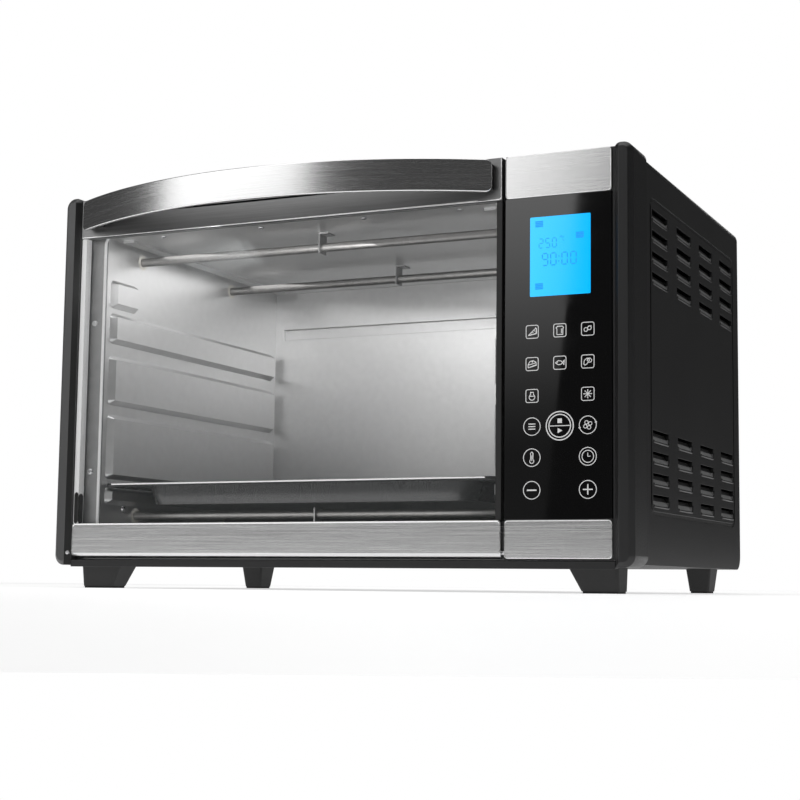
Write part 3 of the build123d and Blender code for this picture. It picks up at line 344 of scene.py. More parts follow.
class Ink:
    """Draws strokes, fills and beads standing off a plane towards -Y, in mm about a centre."""

    def __init__(self, bm, y, thick=0.04):
        self.bm, self.y, self.thick = bm, y, thick
        self.at = (0.0, 0.0)

    def slab(self, outline):
        """A closed flat shape, as a thin slab."""
        cx, cz = self.at
        front = [self.bm.verts.new((cx + x * MM, self.y, cz + z * MM)) for x, z in outline]
        back = [self.bm.verts.new((v.co.x, self.y + self.thick * MM, v.co.z)) for v in front]
        self.bm.faces.new(front)
        self.bm.faces.new(list(reversed(back)))
        count = len(outline)
        for i in range(count):
            j = (i + 1) % count
            self.bm.faces.new((front[j], front[i], back[i], back[j]))

    def band(self, points, width, closed):
        """A line of the given width through the points, mitred at its corners."""
        count = len(points)
        sides = []
        for i, (x, z) in enumerate(points):
            before = points[(i - 1) % count] if closed or i else points[i]
            after = points[(i + 1) % count] if closed or i < count - 1 else points[i]
            along = Vector((after[0] - before[0], after[1] - before[1])).normalized()
            first = Vector((x - before[0], z - before[1]))
            straight = along.dot(first.normalized()) if first.length > 1e-9 else 1.0
            reach = width / 2 / max(straight, 0.5)
            sides.append(((x - along.y * reach, z + along.x * reach),
                          (x + along.y * reach, z - along.x * reach)))
        for i in range(count if closed else count - 1):
            (a, b), (c, d) = sides[i], sides[(i + 1) % count]
            self.slab([a, c, d, b])

    def ring(self, radius, width, start=0.0, end=360.0, centre=(0.0, 0.0), steps=40):
        """A circle or an arc, angles in degrees."""
        closed = abs(end - start) >= 360
        count = steps if closed else max(int(steps * abs(end - start) / 360), 4) + 1
        span = math.radians(end - start) / (count if closed else count - 1)
        points = [(centre[0] + radius * math.cos(math.radians(start) + i * span),
                   centre[1] + radius * math.sin(math.radians(start) + i * span))
                  for i in range(count)]
        self.band(points, width, closed)

    def frame(self, size, radius, width):
        """A square with rounded corners."""
        self.band(rounded_outline(-size / 2, size / 2, -size / 2, size / 2, radius), width, True)

    def bead(self, points, half_width, rise, closed=True):
        """A half-round bead through the points, standing off the plane towards -Y."""
        count = len(points)
        rows = []
        for i, (x, z) in enumerate(points):
            before = points[(i - 1) % count] if closed or i else points[i]
            after = points[(i + 1) % count] if closed or i < count - 1 else points[i]
            along = Vector((after[0] - before[0], after[1] - before[1])).normalized()
            row = []
            for step in range(BEAD_STEPS + 1):
                angle = math.pi * step / BEAD_STEPS
                off, up = half_width * math.cos(angle), rise * math.sin(angle)
                row.append(self.bm.verts.new((self.at[0] + (x - along.y * off) * MM,
                                              self.y - up * MM,
                                              self.at[1] + (z + along.x * off) * MM)))
            rows.append(row)
        for i in range(count if closed else count - 1):
            low, high = rows[i], rows[(i + 1) % count]
            for j in range(BEAD_STEPS + 1):
                k = (j + 1) % (BEAD_STEPS + 1)
                self.bm.faces.new((low[j], high[j], high[k], low[k]))
        if not closed:
            self.bm.faces.new(rows[0])
            self.bm.faces.new(list(reversed(rows[-1])))

    def line(self, points, width=LINE):
        """An open line through the points."""
        self.band(points, width, False)

    def dot(self, x, z, radius):
        """A filled disc."""
        angles = [math.tau * i / DOT_STEPS for i in range(DOT_STEPS)]
        self.slab([(x + radius * math.cos(a), z + radius * math.sin(a)) for a in angles])


# ------------------------------------------------------------------ printed signs on the panel
def pizza(ink):
    ink.line([(-3.0, -2.6), (2.7, 2.6), (2.9, -1.4), (-3.0, -2.6)])
    ink.line([(2.2, 3.0), (3.2, 2.2), (3.4, -1.4)])
    for x, z in ((0.6, -0.6), (1.7, 0.6), (-0.6, -1.7)):
        ink.dot(x, z, 0.42)


def toast(ink):
    ink.line([(-2.2, -3.0), (-2.2, 1.0), (-2.8, 1.8), (-1.8, 2.9), (1.8, 2.9), (2.8, 1.8),
              (2.2, 1.0), (2.2, -3.0), (-2.2, -3.0)])
    ink.line([(1.2, 1.2), (1.2, -2.2)])


def wings(ink):
    ink.ring(1.35, LINE, centre=(-1.4, -0.5), steps=18)
    ink.ring(1.35, LINE, 200, 500, centre=(1.2, 0.6), steps=18)
    ink.line([(-0.4, 0.5), (0.6, 1.7), (2.8, 1.9)])


def cake(ink):
    ink.line([(-3.0, -2.6), (-3.0, -0.4), (-1.6, 1.9), (0.8, 2.4), (2.9, 1.2), (3.2, -0.8),
              (-3.0, -2.6)])
    ink.line([(-2.6, -0.6), (2.8, 0.8)])
    ink.dot(0.2, 1.6, 0.6)


def fish(ink):
    ink.line([(-3.3, 0.0), (-1.2, 1.5), (1.0, 1.2), (2.0, 0.1), (1.0, -1.1), (-1.2, -1.4),
              (-3.3, 0.0)])
    ink.line([(2.0, 0.1), (3.2, 1.9), (3.0, -1.8), (2.0, 0.1)])
    ink.dot(-1.8, 0.3, 0.36)


def steak(ink):
    ink.line([(-2.9, -1.8), (-2.6, 0.7), (-0.8, 2.2), (1.8, 2.2), (3.0, 0.9), (2.4, -0.5),
              (0.2, -0.7), (-1.0, -2.1), (-2.2, -2.5), (-2.9, -1.8)])
    ink.ring(0.8, LINE, centre=(0.4, 0.9), steps=14)


def jar(ink):
    ink.ring(2.1, LINE, 115, 425, centre=(0, -0.9), steps=24)
    ink.line([(-1.1, 1.0), (-1.1, 2.5), (1.1, 2.5), (1.1, 1.0)])
    ink.line([(-2.0, -0.2), (2.0, -0.2)])


def flake(ink):
    for step in range(4):
        angle = math.pi * step / 4
        x, z = 2.8 * math.cos(angle), 2.8 * math.sin(angle)
        ink.line([(-x, -z), (x, z)], 0.5)
        ink.dot(x, z, 0.4)
        ink.dot(-x, -z, 0.4)


def menu(ink):
    for z in (1.8, 0.0, -1.8):
        ink.line([(-2.6, z), (2.6, z)], 0.7)


def start_stop(ink):
    ink.ring(8.0, 0.75, steps=64)
    ink.line([(-7.4, 0.0), (7.4, 0.0)], 0.6)
    ink.slab([(-1.6, 1.9), (1.6, 1.9), (1.6, 5.1), (-1.6, 5.1)])
    ink.slab([(-1.5, -1.6), (-1.5, -5.2), (2.0, -3.4)])


def fan_sign(ink):
    for step in range(4):
        angle = math.pi * step / 2 + 0.5
        cx, cz = 2.0 * math.cos(angle), 2.0 * math.sin(angle)
        ink.ring(1.25, 0.5, centre=(cx, cz), steps=14)
    for angle in (0.3, 0.3 + math.pi):
        ink.dot(6.2 * math.cos(angle), 6.2 * math.sin(angle), 0.75)


def heat(ink):
    ink.ring(1.5, LINE, 125, 415, centre=(0, -2.6), steps=20)
    ink.line([(-0.85, -1.3), (-0.85, 3.2), (0.0, 4.0), (0.85, 3.2), (0.85, -1.3)])
    ink.line([(0.0, -2.4), (0.0, 1.6)], 0.5)


def clock(ink):
    ink.ring(4.2, LINE, steps=36)
    ink.line([(0.0, 2.6), (0.0, 0.0), (1.9, 0.0)])


def minus(ink):
    ink.line([(-3.6, 0.0), (3.6, 0.0)], 1.0)


def plus(ink):
    ink.line([(-3.6, 0.0), (3.6, 0.0)], 0.85)
    ink.line([(0.0, -3.6), (0.0, 3.6)], 0.85)


COLUMNS = (20.8, 41.5, 62.1)         # mm from the glass's left edge; rows are above its foot
SQUARES = {133.0: (pizza, toast, wings), 110.0: (cake, fish, steak), 87.3: (jar, None, flake)}
CIRCLES = {65.6: (menu, start_stop, fan_sign), 43.7: (heat, None, clock),
           20.8: (minus, None, plus)}
SQUARE_SIZE, SQUARE_CORNER = 9.2, 1.4
CIRCLE_R = 6.2
START_R, START_LINE = 10.0, 0.8
PRINT_LIFT = 0.06 * MM


def draw_icons(bm):
    """The keys' printed frames and signs on the touch glass."""
    ink = Ink(bm, glass_low.y - PRINT_LIFT)
    for rows, outline in ((SQUARES, "square"), (CIRCLES, "circle")):
        for height, signs in rows.items():
            for column, sign in zip(COLUMNS, signs):
                if not sign:
                    continue
                ink.at = (glass_low.x + column * MM, glass_low.z + height * MM)
                if outline == "square":
                    ink.frame(SQUARE_SIZE, SQUARE_CORNER, LINE)
                elif sign is start_stop:
                    ink.ring(START_R, START_LINE, steps=64)
                else:
                    ink.ring(CIRCLE_R, LINE, steps=64)
                sign(ink)


add_piece("panel_icons", draw_icons, print_white_painted_glow, "oven_body")


# ------------------------------------------------------------------ display
def draw_display(bm):
    """The lit window, laid on the glass in front of the display module."""
    ink = Ink(bm, glass_low.y - PRINT_LIFT)
    ink.slab(node_outline("display_module", 0.0, 0.8))


SEGMENTS = {"top": (0, 1), "mid": (0, 0), "low": (0, -1), "up_l": (-1, 0.5), "up_r": (1, 0.5),
            "low_l": (-1, -0.5), "low_r": (1, -0.5)}
DIGITS = {
    "0": "top low up_l up_r low_l low_r", "2": "top mid low up_r low_l",
    "5": "top mid low up_l low_r", "9": "top mid low up_l up_r low_r",
    "C": "top low up_l low_l",
}


def draw_digit(ink, x, z, digit, width, height, stroke):
    """One seven-segment digit about a centre, its segments pointed at both ends."""
    for name in DIGITS[digit].split():
        sx, sz = SEGMENTS[name]
        cx, cz = x + sx * width / 2, z + sz * height / 2
        if sx == 0:
            half_length = width / 2 - stroke * 0.55
            ink.slab([(cx - half_length, cz), (cx - half_length + stroke / 2, cz + stroke / 2),
                      (cx + half_length - stroke / 2, cz + stroke / 2), (cx + half_length, cz),
                      (cx + half_length - stroke / 2, cz - stroke / 2),
                      (cx - half_length + stroke / 2, cz - stroke / 2)])
        else:
            half_length = height / 4 - stroke * 0.55
            ink.slab([(cx, cz - half_length), (cx + stroke / 2, cz - half_length + stroke / 2),
                      (cx + stroke / 2, cz + half_length - stroke / 2), (cx, cz + half_length),
                      (cx - stroke / 2, cz + half_length - stroke / 2),
                      (cx - stroke / 2, cz - half_length + stroke / 2)])


BLOCK_ROWS, BLOCK_PITCH, BLOCK_WIDE, BLOCK_TALL = 4, 1.15, 5.8, 0.9


def draw_segments(bm):
    """Temperature, time and three blank blocks of rows."""
    ink = Ink(bm, glass_low.y - 2.2 * PRINT_LIFT)
    ink.at = (display_low.x, display_low.z)
    for x, digit in ((8.3, "2"), (13.3, "5"), (18.3, "0")):
        draw_digit(ink, x, 38.0, digit, 3.0, 6.6, 0.55)
    ink.ring(0.55, 0.3, centre=(23.4, 42.0), steps=12)
    draw_digit(ink, 25.4, 40.6, "C", 1.5, 2.8, 0.4)
    for x, digit in ((11.4, "9"), (17.6, "0"), (26.0, "0"), (32.6, "0")):
        draw_digit(ink, x, 26.2, digit, 4.0, 8.6, 0.75)
    for z in (24.4, 28.0):
        ink.slab([(21.4, z - 0.4), (22.2, z - 0.4), (22.2, z + 0.4), (21.4, z + 0.4)])
    for x, z in ((4.0, 50.0), (34.4, 40.0), (4.0, 5.0)):
        for row in range(BLOCK_ROWS):
            foot = z + row * BLOCK_PITCH
            ink.slab([(x, foot), (x + BLOCK_WIDE, foot), (x + BLOCK_WIDE, foot + BLOCK_TALL),
                      (x, foot + BLOCK_TALL)])


add_piece("display_face", draw_display, display_light, "oven_body")
add_piece("display_digits", draw_segments, segment_ink, "oven_body")


# ------------------------------------------------------------------ screw heads
HEAD_RINGS, HEAD_STEPS = 5, 24
CROWN_SHARE = 0.08           # flat crown's radius, of the head's
CROSS_LONG, CROSS_WIDE = 0.55, 0.13      # the cross's half sizes, of the head's radius


def screw_head(bm, centre, radius, height, direction):
    """A domed head with a cross on its crown; direction is the way that it faces along Y."""
    rows = []
    for ring in range(HEAD_RINGS + 1):
        angle = math.pi / 2 * ring / HEAD_RINGS
        r = max(radius * math.cos(angle), radius * CROWN_SHARE)
        y = centre[1] + direction * height * math.sin(angle)
        rows.append([bm.verts.new((centre[0] + r * math.cos(math.tau * i / HEAD_STEPS), y,
                                   centre[2] + r * math.sin(math.tau * i / HEAD_STEPS)))
                     for i in range(HEAD_STEPS)])
    for low, high in zip(rows, rows[1:]):
        for i in range(HEAD_STEPS):
            j = (i + 1) % HEAD_STEPS
            quad = (low[i], low[j], high[j], high[i])
            bm.faces.new(quad if direction > 0 else tuple(reversed(quad)))
    cap = rows[-1] if direction > 0 else list(reversed(rows[-1]))
    bm.faces.new(cap)
    base = list(reversed(rows[0])) if direction > 0 else rows[0]
    bm.faces.new(base)
    for long_x in (True, False):
        half_x, half_z = (CROSS_LONG, CROSS_WIDE) if long_x else (CROSS_WIDE, CROSS_LONG)
        y0 = centre[1] + direction * height * 0.80
        y1 = centre[1] + direction * (height * 1.02 + 0.00002)
        corners = [(sx * half_x * radius, sz * half_z * radius) for sx, sz in
                   ((-1, -1), (1, -1), (1, 1), (-1, 1))]
        low = [bm.verts.new((centre[0] + x, y0, centre[2] + z)) for x, z in corners]
        high = [bm.verts.new((centre[0] + x, y1, centre[2] + z)) for x, z in corners]
        bm.faces.new(high)
        bm.faces.new(list(reversed(low)))
        for i in range(4):
            j = (i + 1) % 4
            bm.faces.new((low[i], low[j], high[j], high[i]))


flange_low, flange_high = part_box("flange_screws")
rear_low, rear_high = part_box("rear_screws")
flange_r = (flange_high.x - flange_low.x) / 2
REAR_HEAD_R = 3.4 * MM


def draw_flange_heads(bm):
    for z in (flange_low.z + flange_r, flange_high.z - flange_r):
        screw_head(bm, (flange_low.x + flange_r, flange_low.y, z), flange_r, 0.5 * MM, -1)


def draw_rear_heads(bm):
    for x in (rear_low.x + REAR_HEAD_R, 0.0, rear_high.x - REAR_HEAD_R):
        for z in (rear_low.z + REAR_HEAD_R, rear_high.z - REAR_HEAD_R):
            screw_head(bm, (x, rear_high.y, z), REAR_HEAD_R * 0.97, 0.8 * MM, 1)


add_piece("flange_screw_heads", draw_flange_heads, zinc, "oven_body")
add_piece("rear_screw_heads", draw_rear_heads, zinc, "oven_body")


# ------------------------------------------------------------------ bright lines and beads
door_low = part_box("door_bottom_trim")[0]
ceiling_low, ceiling_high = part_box("cavity_ceiling")
floor_low, floor_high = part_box("cavity_floor")
frame_low, frame_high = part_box("face_frame")


def draw_panel_lines(bm):
    """Light line round each of the panel's two plates."""
    for node in ("upper_panel_trim", "lower_panel_trim"):
        Ink(bm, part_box(node)[0].y).bead(node_outline(node, 0.45, 2.2), 0.3, 0.12)


def draw_door_line(bm):
    """Light line along the door's lower trim, over its top and down both ends."""
    foot = door_low.z / MM + 5.0
    path = [point for point in node_outline("door_bottom_trim", 0.6, 2.2) if point[1] > foot]
    Ink(bm, door_low.y).bead([(path[0][0], foot), *path, (path[-1][0], foot)], 0.5, 0.2,
                             closed=False)


def draw_mouth_bead(bm):
    """Rolled edge of the cavity's mouth, on the face frame, in white: a painted highlight."""
    Ink(bm, frame_low.y).bead(
        rounded_outline(ceiling_low.x / MM - 0.8, ceiling_high.x / MM + 0.8, floor_low.z / MM - 0.6,
                        ceiling_high.z / MM + 0.6, 7.0, 6), 1.3, 0.7)


add_piece("panel_trim_lines", draw_panel_lines, polished, "oven_body")
add_piece("door_trim_line", draw_door_line, polished, "door")
add_piece("cavity_mouth_painted_highlight", draw_mouth_bead, white_painted_highlight, "oven_body")


# ------------------------------------------------------------------ handle band
HANDLE_SAG = 47.0
HANDLE_THICK = 3.0
HANDLE_CORNER = 5.0
HANDLE_EASE = 0.8
# stations from each end in mm, close together where the corners curve
END_STATIONS = (0.0, 0.12, 0.3, 0.55, 0.85, 1.3, 1.9, 2.7, 3.7, HANDLE_CORNER)
MIDDLE_STEPS = 36
EASE_STEPS = 3


def quarter_drop(distance, radius):
    """How far a rounded corner falls back at a distance from its end."""
    if distance >= radius:
        return 0.0
    return radius - math.sqrt(radius * radius - (radius - distance) ** 2)


def draw_handle(bm):
    """The bowed band: rounded-end plate swept along its arc, with eased edges."""
    low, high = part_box("handle_band")
    half = (high.x - low.x) / 2 / MM
    radius = (half * half + HANDLE_SAG ** 2) / (2 * HANDLE_SAG)
    centre = ((low.x + high.x) / 2, low.y + radius * MM)
    reach = math.asin(half / radius) * radius
    ends = list(END_STATIONS) + [HANDLE_CORNER + (reach - HANDLE_CORNER) * i / MIDDLE_STEPS
                                 for i in range(1, MIDDLE_STEPS + 1)]
    stations = [-reach + d for d in ends] + [reach - d for d in reversed(ends[:-1])]
    mid_z = (low.z + high.z) / 2
    half_height = (high.z - low.z) / 2 / MM
    rows = []
    for place in stations:
        distance = reach - abs(place)
        tall = half_height - quarter_drop(distance, HANDLE_CORNER)
        back = quarter_drop(distance, HANDLE_EASE)
        ease_here = min(HANDLE_EASE, (HANDLE_THICK - 2 * back) / 2 - 0.02)
        angle = place / radius
        row = []
        for corner, (sz, st) in enumerate(((1, 1), (-1, 1), (-1, -1), (1, -1))):
            cz = sz * (tall - ease_here)
            ct = HANDLE_THICK / 2 + st * (HANDLE_THICK / 2 - back - ease_here)
            for step in range(EASE_STEPS + 1):
                swing = math.radians(90 * (corner + step / EASE_STEPS))
                z = cz + ease_here * math.cos(swing)
                depth = ct + ease_here * math.sin(swing)
                away = (radius - depth) * MM
                row.append(bm.verts.new((centre[0] + away * math.sin(angle),
                                         centre[1] - away * math.cos(angle), mid_z + z * MM)))
        rows.append(row)
    count = len(rows[0])
    for index, (first, second) in enumerate(zip(rows, rows[1:])):
        place = (abs(stations[index]) + abs(stations[index + 1])) / 2
        for i in range(count):
            j = (i + 1) % count
            face = bm.faces.new((first[i], second[i], second[j], first[j]))
            face.smooth = True
            flat = i % (EASE_STEPS + 1) == EASE_STEPS and reach - place > HANDLE_EASE
            face.material_index = 0 if flat else 1
    bm.faces.new(rows[0]).material_index = 1
    bm.faces.new(list(reversed(rows[-1]))).material_index = 1


handle = add_piece("handle_band_eased", draw_handle, silver, "door")
handle.data.materials.append(polished)
handle.modifiers.new("even", "WEIGHTED_NORMAL")
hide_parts("handle_band")


# ------------------------------------------------------------------ small fittings
def turn(bm, before, degrees):
    """Turns about the Z axis every point that is not among those made before."""
    fresh = [vert for vert in bm.verts if vert not in before]
    bmesh.ops.rotate(bm, verts=fresh, cent=(0, 0, 0),
                     matrix=Matrix.Rotation(math.radians(degrees), 3, "Z"))


RECESS_TALL = 25.0
RECESS_LIFT = 0.05 * MM


def draw_strip_recess(bm):
    """Dark patches in place of the recess at the foot of the door's left strip, front and side:
    painted shade standing in for the recess.
    """
    low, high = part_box("door_left_strip")
    foot, top = low.z / MM, low.z / MM + RECESS_TALL
    Ink(bm, low.y - RECESS_LIFT).slab(
        rounded_outline(low.x / MM + 0.7, high.x / MM, foot, top, 2.2))
    made = set(bm.verts)
    Ink(bm, -high.x - RECESS_LIFT).slab(
        rounded_outline(low.y / MM, high.y / MM - 0.8, foot, top - 1.0, 3.0))
    turn(bm, made, 90)


DOME_RINGS, DOME_STEPS = 5, 20


def dome(bm, place, axis, radius, height):
    """A low dome standing on a plane, looking along an axis."""
    normal = Vector(axis)
    side = normal.orthogonal().normalized()
    over = normal.cross(side)
    rows = []
    for ring in range(DOME_RINGS):
        angle = math.radians(90 * ring / DOME_RINGS)
        middle = Vector(place) + normal * height * math.sin(angle)
        row = []
        for i in range(DOME_STEPS):
            round_at = math.tau * i / DOME_STEPS
            row.append(bm.verts.new(middle + radius * math.cos(angle) * (
                side * math.cos(round_at) + over * math.sin(round_at))))
        rows.append(row)
    for low, high in zip(rows, rows[1:]):
        for i in range(DOME_STEPS):
            j = (i + 1) % DOME_STEPS
            bm.faces.new((low[i], low[j], high[j], high[i])).smooth = True
    bm.faces.new(rows[-1]).smooth = True
    bm.faces.new(list(reversed(rows[0])))


SHEET = 1.0 * MM
WALL_RIVET_Y, WALL_RIVET_Z = (46, 262), 64 * MM       # places in mm behind the trims' front
ROOF_RIVET_X, ROOF_RIVET_Y = (-160, -70, 20, 100), 24


def draw_rivets(bm):
    """Rivets low on the left wall and along the front of the ceiling."""
    for y in WALL_RIVET_Y:
        dome(bm, (ceiling_low.x + SHEET, FRONT + y * MM, WALL_RIVET_Z), (1, 0, 0), 3.4 * MM,
             1.6 * MM)
    for x in ROOF_RIVET_X:
        dome(bm, (x * MM, FRONT + ROOF_RIVET_Y * MM, ceiling_high.z - SHEET), (0, 0, -1),
             2.4 * MM, 1.2 * MM)


BEVEL = 3.5 * MM


def draw_trim_painted_shade(bm):
    """Black strip laid on the left trim's inner bevel: painted shade."""
    low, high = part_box("left_trim")
    normal = Vector((1, -1, 0)).normalized()
    rows = []
    for z in (low.z + 0.4 * MM, high.z - 4.2 * MM):
        ends = (Vector((high.x - BEVEL, low.y, z)), Vector((high.x, low.y + BEVEL, z)))
        rows.append([bm.verts.new(end + normal * lift * MM) for lift in (0.10, 0.02)
                     for end in ends])
    (a, b, c, d), (e, f, g, h) = rows
    for face in ((a, b, f, e), (d, c, g, h), (a, e, g, c), (b, d, h, f), (a, c, d, b),
                 (e, f, h, g)):
        bm.faces.new(face)


def draw_hinge_tip(bm):
    """Domed end of the hinge pin, on the left trim's bevel."""
    low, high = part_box("left_trim")
    pin_low, pin_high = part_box("hinge_pins")
    place = (high.x - 0.45 * BEVEL, low.y + 0.55 * BEVEL, (pin_low.z + pin_high.z) / 2)
    dome(bm, place, Vector((1, -1, 0)).normalized(), 1.7 * MM, 1.3 * MM)


def draw_bar_line(bm):
    """Light line along the top bar's lower edge and up its right end."""
    low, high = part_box("door_top_bar")
    x0, x1, z0, z1 = low.x / MM + 0.8, high.x / MM - 0.6, low.z / MM + 0.7, high.z / MM - 0.8
    corner = [(x1 - 2 + 2 * math.sin(math.radians(a)), z0 + 2 - 2 * math.cos(math.radians(a)))
              for a in (0, 22.5, 45, 67.5, 90)]
    Ink(bm, low.y).bead([(x0, z0), *corner, (x1, z1)], 0.45, 0.22, closed=False)


# Louvres, in mm: columns run back from the trims' front, bases are the slots' lower edges.
LOUVRE_LENGTH, LOUVRE_HEIGHT = 40.6, 8.2
LOUVRE_COLUMNS = [54.8 + 66.2 * i for i in range(4)]
LOUVRE_BASES = [top - LOUVRE_HEIGHT - 15.4 * i for top in (277.8, 116.7) for i in range(4)]


def draw_louvre_beads(bm):
    """Rolled lower edges of the louvres, turned up at the rear end, on both sides."""
    for side in (1, -1):
        before = set(bm.verts)
        ink = Ink(bm, -wrap_side)
        for column in LOUVRE_COLUMNS:
            for base in LOUVRE_BASES:
                y0 = FRONT / MM + column
                y1 = y0 + LOUVRE_LENGTH
                path = [(y0 + 0.6, base + 0.6), (y0 + 2.4, base - 0.35), (y1 - 2.0, base - 0.35),
                        (y1 - 0.6, base + 0.3), (y1 + 0.2, base + 1.8), (y1 + 0.3, base + 5.0)]
                ink.bead([(side * y, z) for y, z in path][::side], 0.85, 0.75, closed=False)
        turn(bm, before, 90 * side)
    for face in bm.faces:
        face.smooth = True


LIP_RUN, LIP_RISE = 3.8, 6.97            # how far each flap leans in and climbs
LIP_SHARE = 0.56                         # lower share of the flap that carries the lip's painted highlight
LIP_BACK, LIP_FACE = 0.04, 0.12          # the laid-on sheet's two faces above the flap
LIP_END_GAP = 0.15
CHEEK_THICK = 0.3 * MM
CHEEK_SINK = 0.25 * MM


def prism(bm, corners, y0, y1, side):
    """A prism along Y from (x, z) corners, mirrored to the left where side is -1."""
    rings = [[bm.verts.new((side * x, y, z)) for x, z in corners] for y in (y0, y1)]
    faces = [bm.faces.new(ring) for ring in rings]
    for i in range(len(corners)):
        k = (i + 1) % len(corners)
        faces.append(bm.faces.new((rings[0][i], rings[0][k], rings[1][k], rings[1][i])))
    bmesh.ops.recalc_face_normals(bm, faces=faces)


def draw_lip_part(bm, start, stop):
    """A thin sheet on one share of every flap, with the cheek that closes its rear end; painted
    highlight on the lower share, painted shade on the upper.
    """
    normal = Vector((LIP_RISE, LIP_RUN)).normalized() * MM

    def flap_point(base, share, lift):
        return (wrap_side - LIP_RUN * share * MM + normal.x * lift,
                (base + LIP_RISE * share) * MM + normal.y * lift)

    mouth = wrap_side - CHEEK_SINK
    for side in (1, -1):
        for column in LOUVRE_COLUMNS:
            y0 = FRONT + (column + LIP_END_GAP) * MM
            y1 = FRONT + (column + LOUVRE_LENGTH - LIP_END_GAP) * MM
            for base in LOUVRE_BASES:
                low, high = flap_point(base, start, LIP_BACK), flap_point(base, stop, LIP_BACK)
                prism(bm, [low, high, flap_point(base, stop, LIP_FACE),
                           flap_point(base, start, LIP_FACE)], y0, y1, side)
                cheek = [low, high, (mouth, high[1])]
                if start:
                    cheek.insert(0, (mouth, low[1]))
                prism(bm, cheek, y1 - CHEEK_THICK, y1, side)


def draw_lips(bm):
    """Lower lips of the louvres, in a lighter grey that is a painted highlight."""
    draw_lip_part(bm, 0.0, LIP_SHARE)


def draw_throats(bm):
    """Black upper part of the flaps, standing in for the shade inside the slots."""
    draw_lip_part(bm, LIP_SHARE, 1.0)


OUTLINE_Y, OUTLINE_Z = (50.5, 298.5), (57.0, 284.5)
OUTLINE_SINK = 0.70 * MM
OUTLINE_WIDTH = 2.5


def draw_outline_painted_shade(bm):
    """Painted shade: a dark band on the floor of the pressed outline round the louvres, on both
    sides.
    """
    for side in (1, -1):
        before = set(bm.verts)
        ends = sorted(side * (FRONT / MM + y) for y in OUTLINE_Y)
        Ink(bm, -wrap_side + OUTLINE_SINK).band(rounded_outline(*ends, *OUTLINE_Z, 6.5, 6),
                                                OUTLINE_WIDTH, True)
        turn(bm, before, 90 * side)


def draw_tray_line(bm):
    """Bright line along the front of the tray's rim."""
    low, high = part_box("bake_tray")
    x0, x1, z = low.x / MM + 8.0, high.x / MM - 8.0, high.z / MM - 0.8
    Ink(bm, low.y).bead([(x0 + (x1 - x0) * i / 6, z) for i in range(7)], 0.7, 0.35, closed=False)


def draw_rating_plate(bm):
    """Blank rating plate on the rear panel, with a raised edge."""
    thick = 0.25
    ink = Ink(bm, -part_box("rear_panel")[1].y - thick * MM, thick)
    ink.slab(rounded_outline(-38, 38, 62, 106, 3.0))
    ink.bead(rounded_outline(-37, 37, 63, 105, 2.4), 0.4, 0.2)
    turn(bm, set(), 180)


for name, maker, look, body, slot in (
        ("left_trim_bevel_painted_shade", draw_trim_painted_shade, black_and_painted_shade, "oven_body", "trim_black"),
        ("left_hinge_tip", draw_hinge_tip, zinc, "oven_body", "screw_steel"),
        ("top_bar_line", draw_bar_line, polished, "door", "brushed_silver"),
        ("louvre_beads", draw_louvre_beads, cabinet_paint, "oven_body", "cabinet_steel"),
        ("louvre_lip_painted_highlight", draw_lips, lip_painted_highlight, "oven_body", "cabinet_steel"),
        ("louvre_throats", draw_throats, black_and_painted_shade, "oven_body", "cabinet_steel"),
        ("side_outline_painted_shade", draw_outline_painted_shade, black_and_painted_shade, "oven_body", "cabinet_steel"),
        ("tray_rim_line", draw_tray_line, polished, "tray", "tray_metal"),
        ("rear_rating_plate", draw_rating_plate, silver, "oven_body", "brushed_silver"),
        ("strip_recess_painted_shade", draw_strip_recess, black_and_painted_shade, "door", "door_strip_black"),
        ("cavity_rivets", draw_rivets, zinc, "oven_body", "screw_steel")):
    add_piece(name, maker, look, body)


# ------------------------------------------------------------------ stage, camera and lights
def aim(obj, target):
    """Points an object's -Z at a target."""
    direction = Vector(target) - obj.location
    obj.rotation_euler = direction.to_track_quat("-Z", "Y").to_euler()


def area_light(name, place, target, size, power, size_y=None):
    """A rectangular light in watts, looking at a target and hidden from the camera."""
    light = bpy.data.lights.new(name, "AREA")
    light.energy = power
    light.shape = "RECTANGLE"
    light.size = size
    light.size_y = size_y or size
    obj = bpy.data.objects.new(name, light)
    bpy.context.scene.collection.objects.link(obj)
    obj.location = place
    aim(obj, target)
    obj.visible_camera = False


FLOOR_SIZE, FLOOR_PLACE = 3.4, (0, -0.35, 0)


def pale_floor():
    """Plain pale floor that glows a little, so that it stays white far from the lights."""
    bpy.ops.mesh.primitive_plane_add(size=FLOOR_SIZE, location=FLOOR_PLACE)
    floor = bpy.context.object
    floor.name = "floor"
    look = material("floor_white", (0.86, 0.86, 0.86), 0.6, Emission_Strength=0.60,
                    Emission_Color=(1, 1, 1, 1))
    drive(look, "Roughness", remap(look, noise(look, 3.0), 0.5, 0.6))
    floor.data.materials.append(look)


WALL_AHEAD = 1.5
WALL_LEFT, WALL_FOOT_RIGHT, WALL_TOP_RIGHT = -2.5, -0.380, -0.191
WALL_FOOT, WALL_TOP = 0.05, 1.9
WALL_LOW, WALL_HIGH = 0.12, 1.7          # glow at and under WALL_DIM_Z, and from WALL_LIT_Z up
WALL_DIM_Z, WALL_LIT_Z = 0.22, 0.80


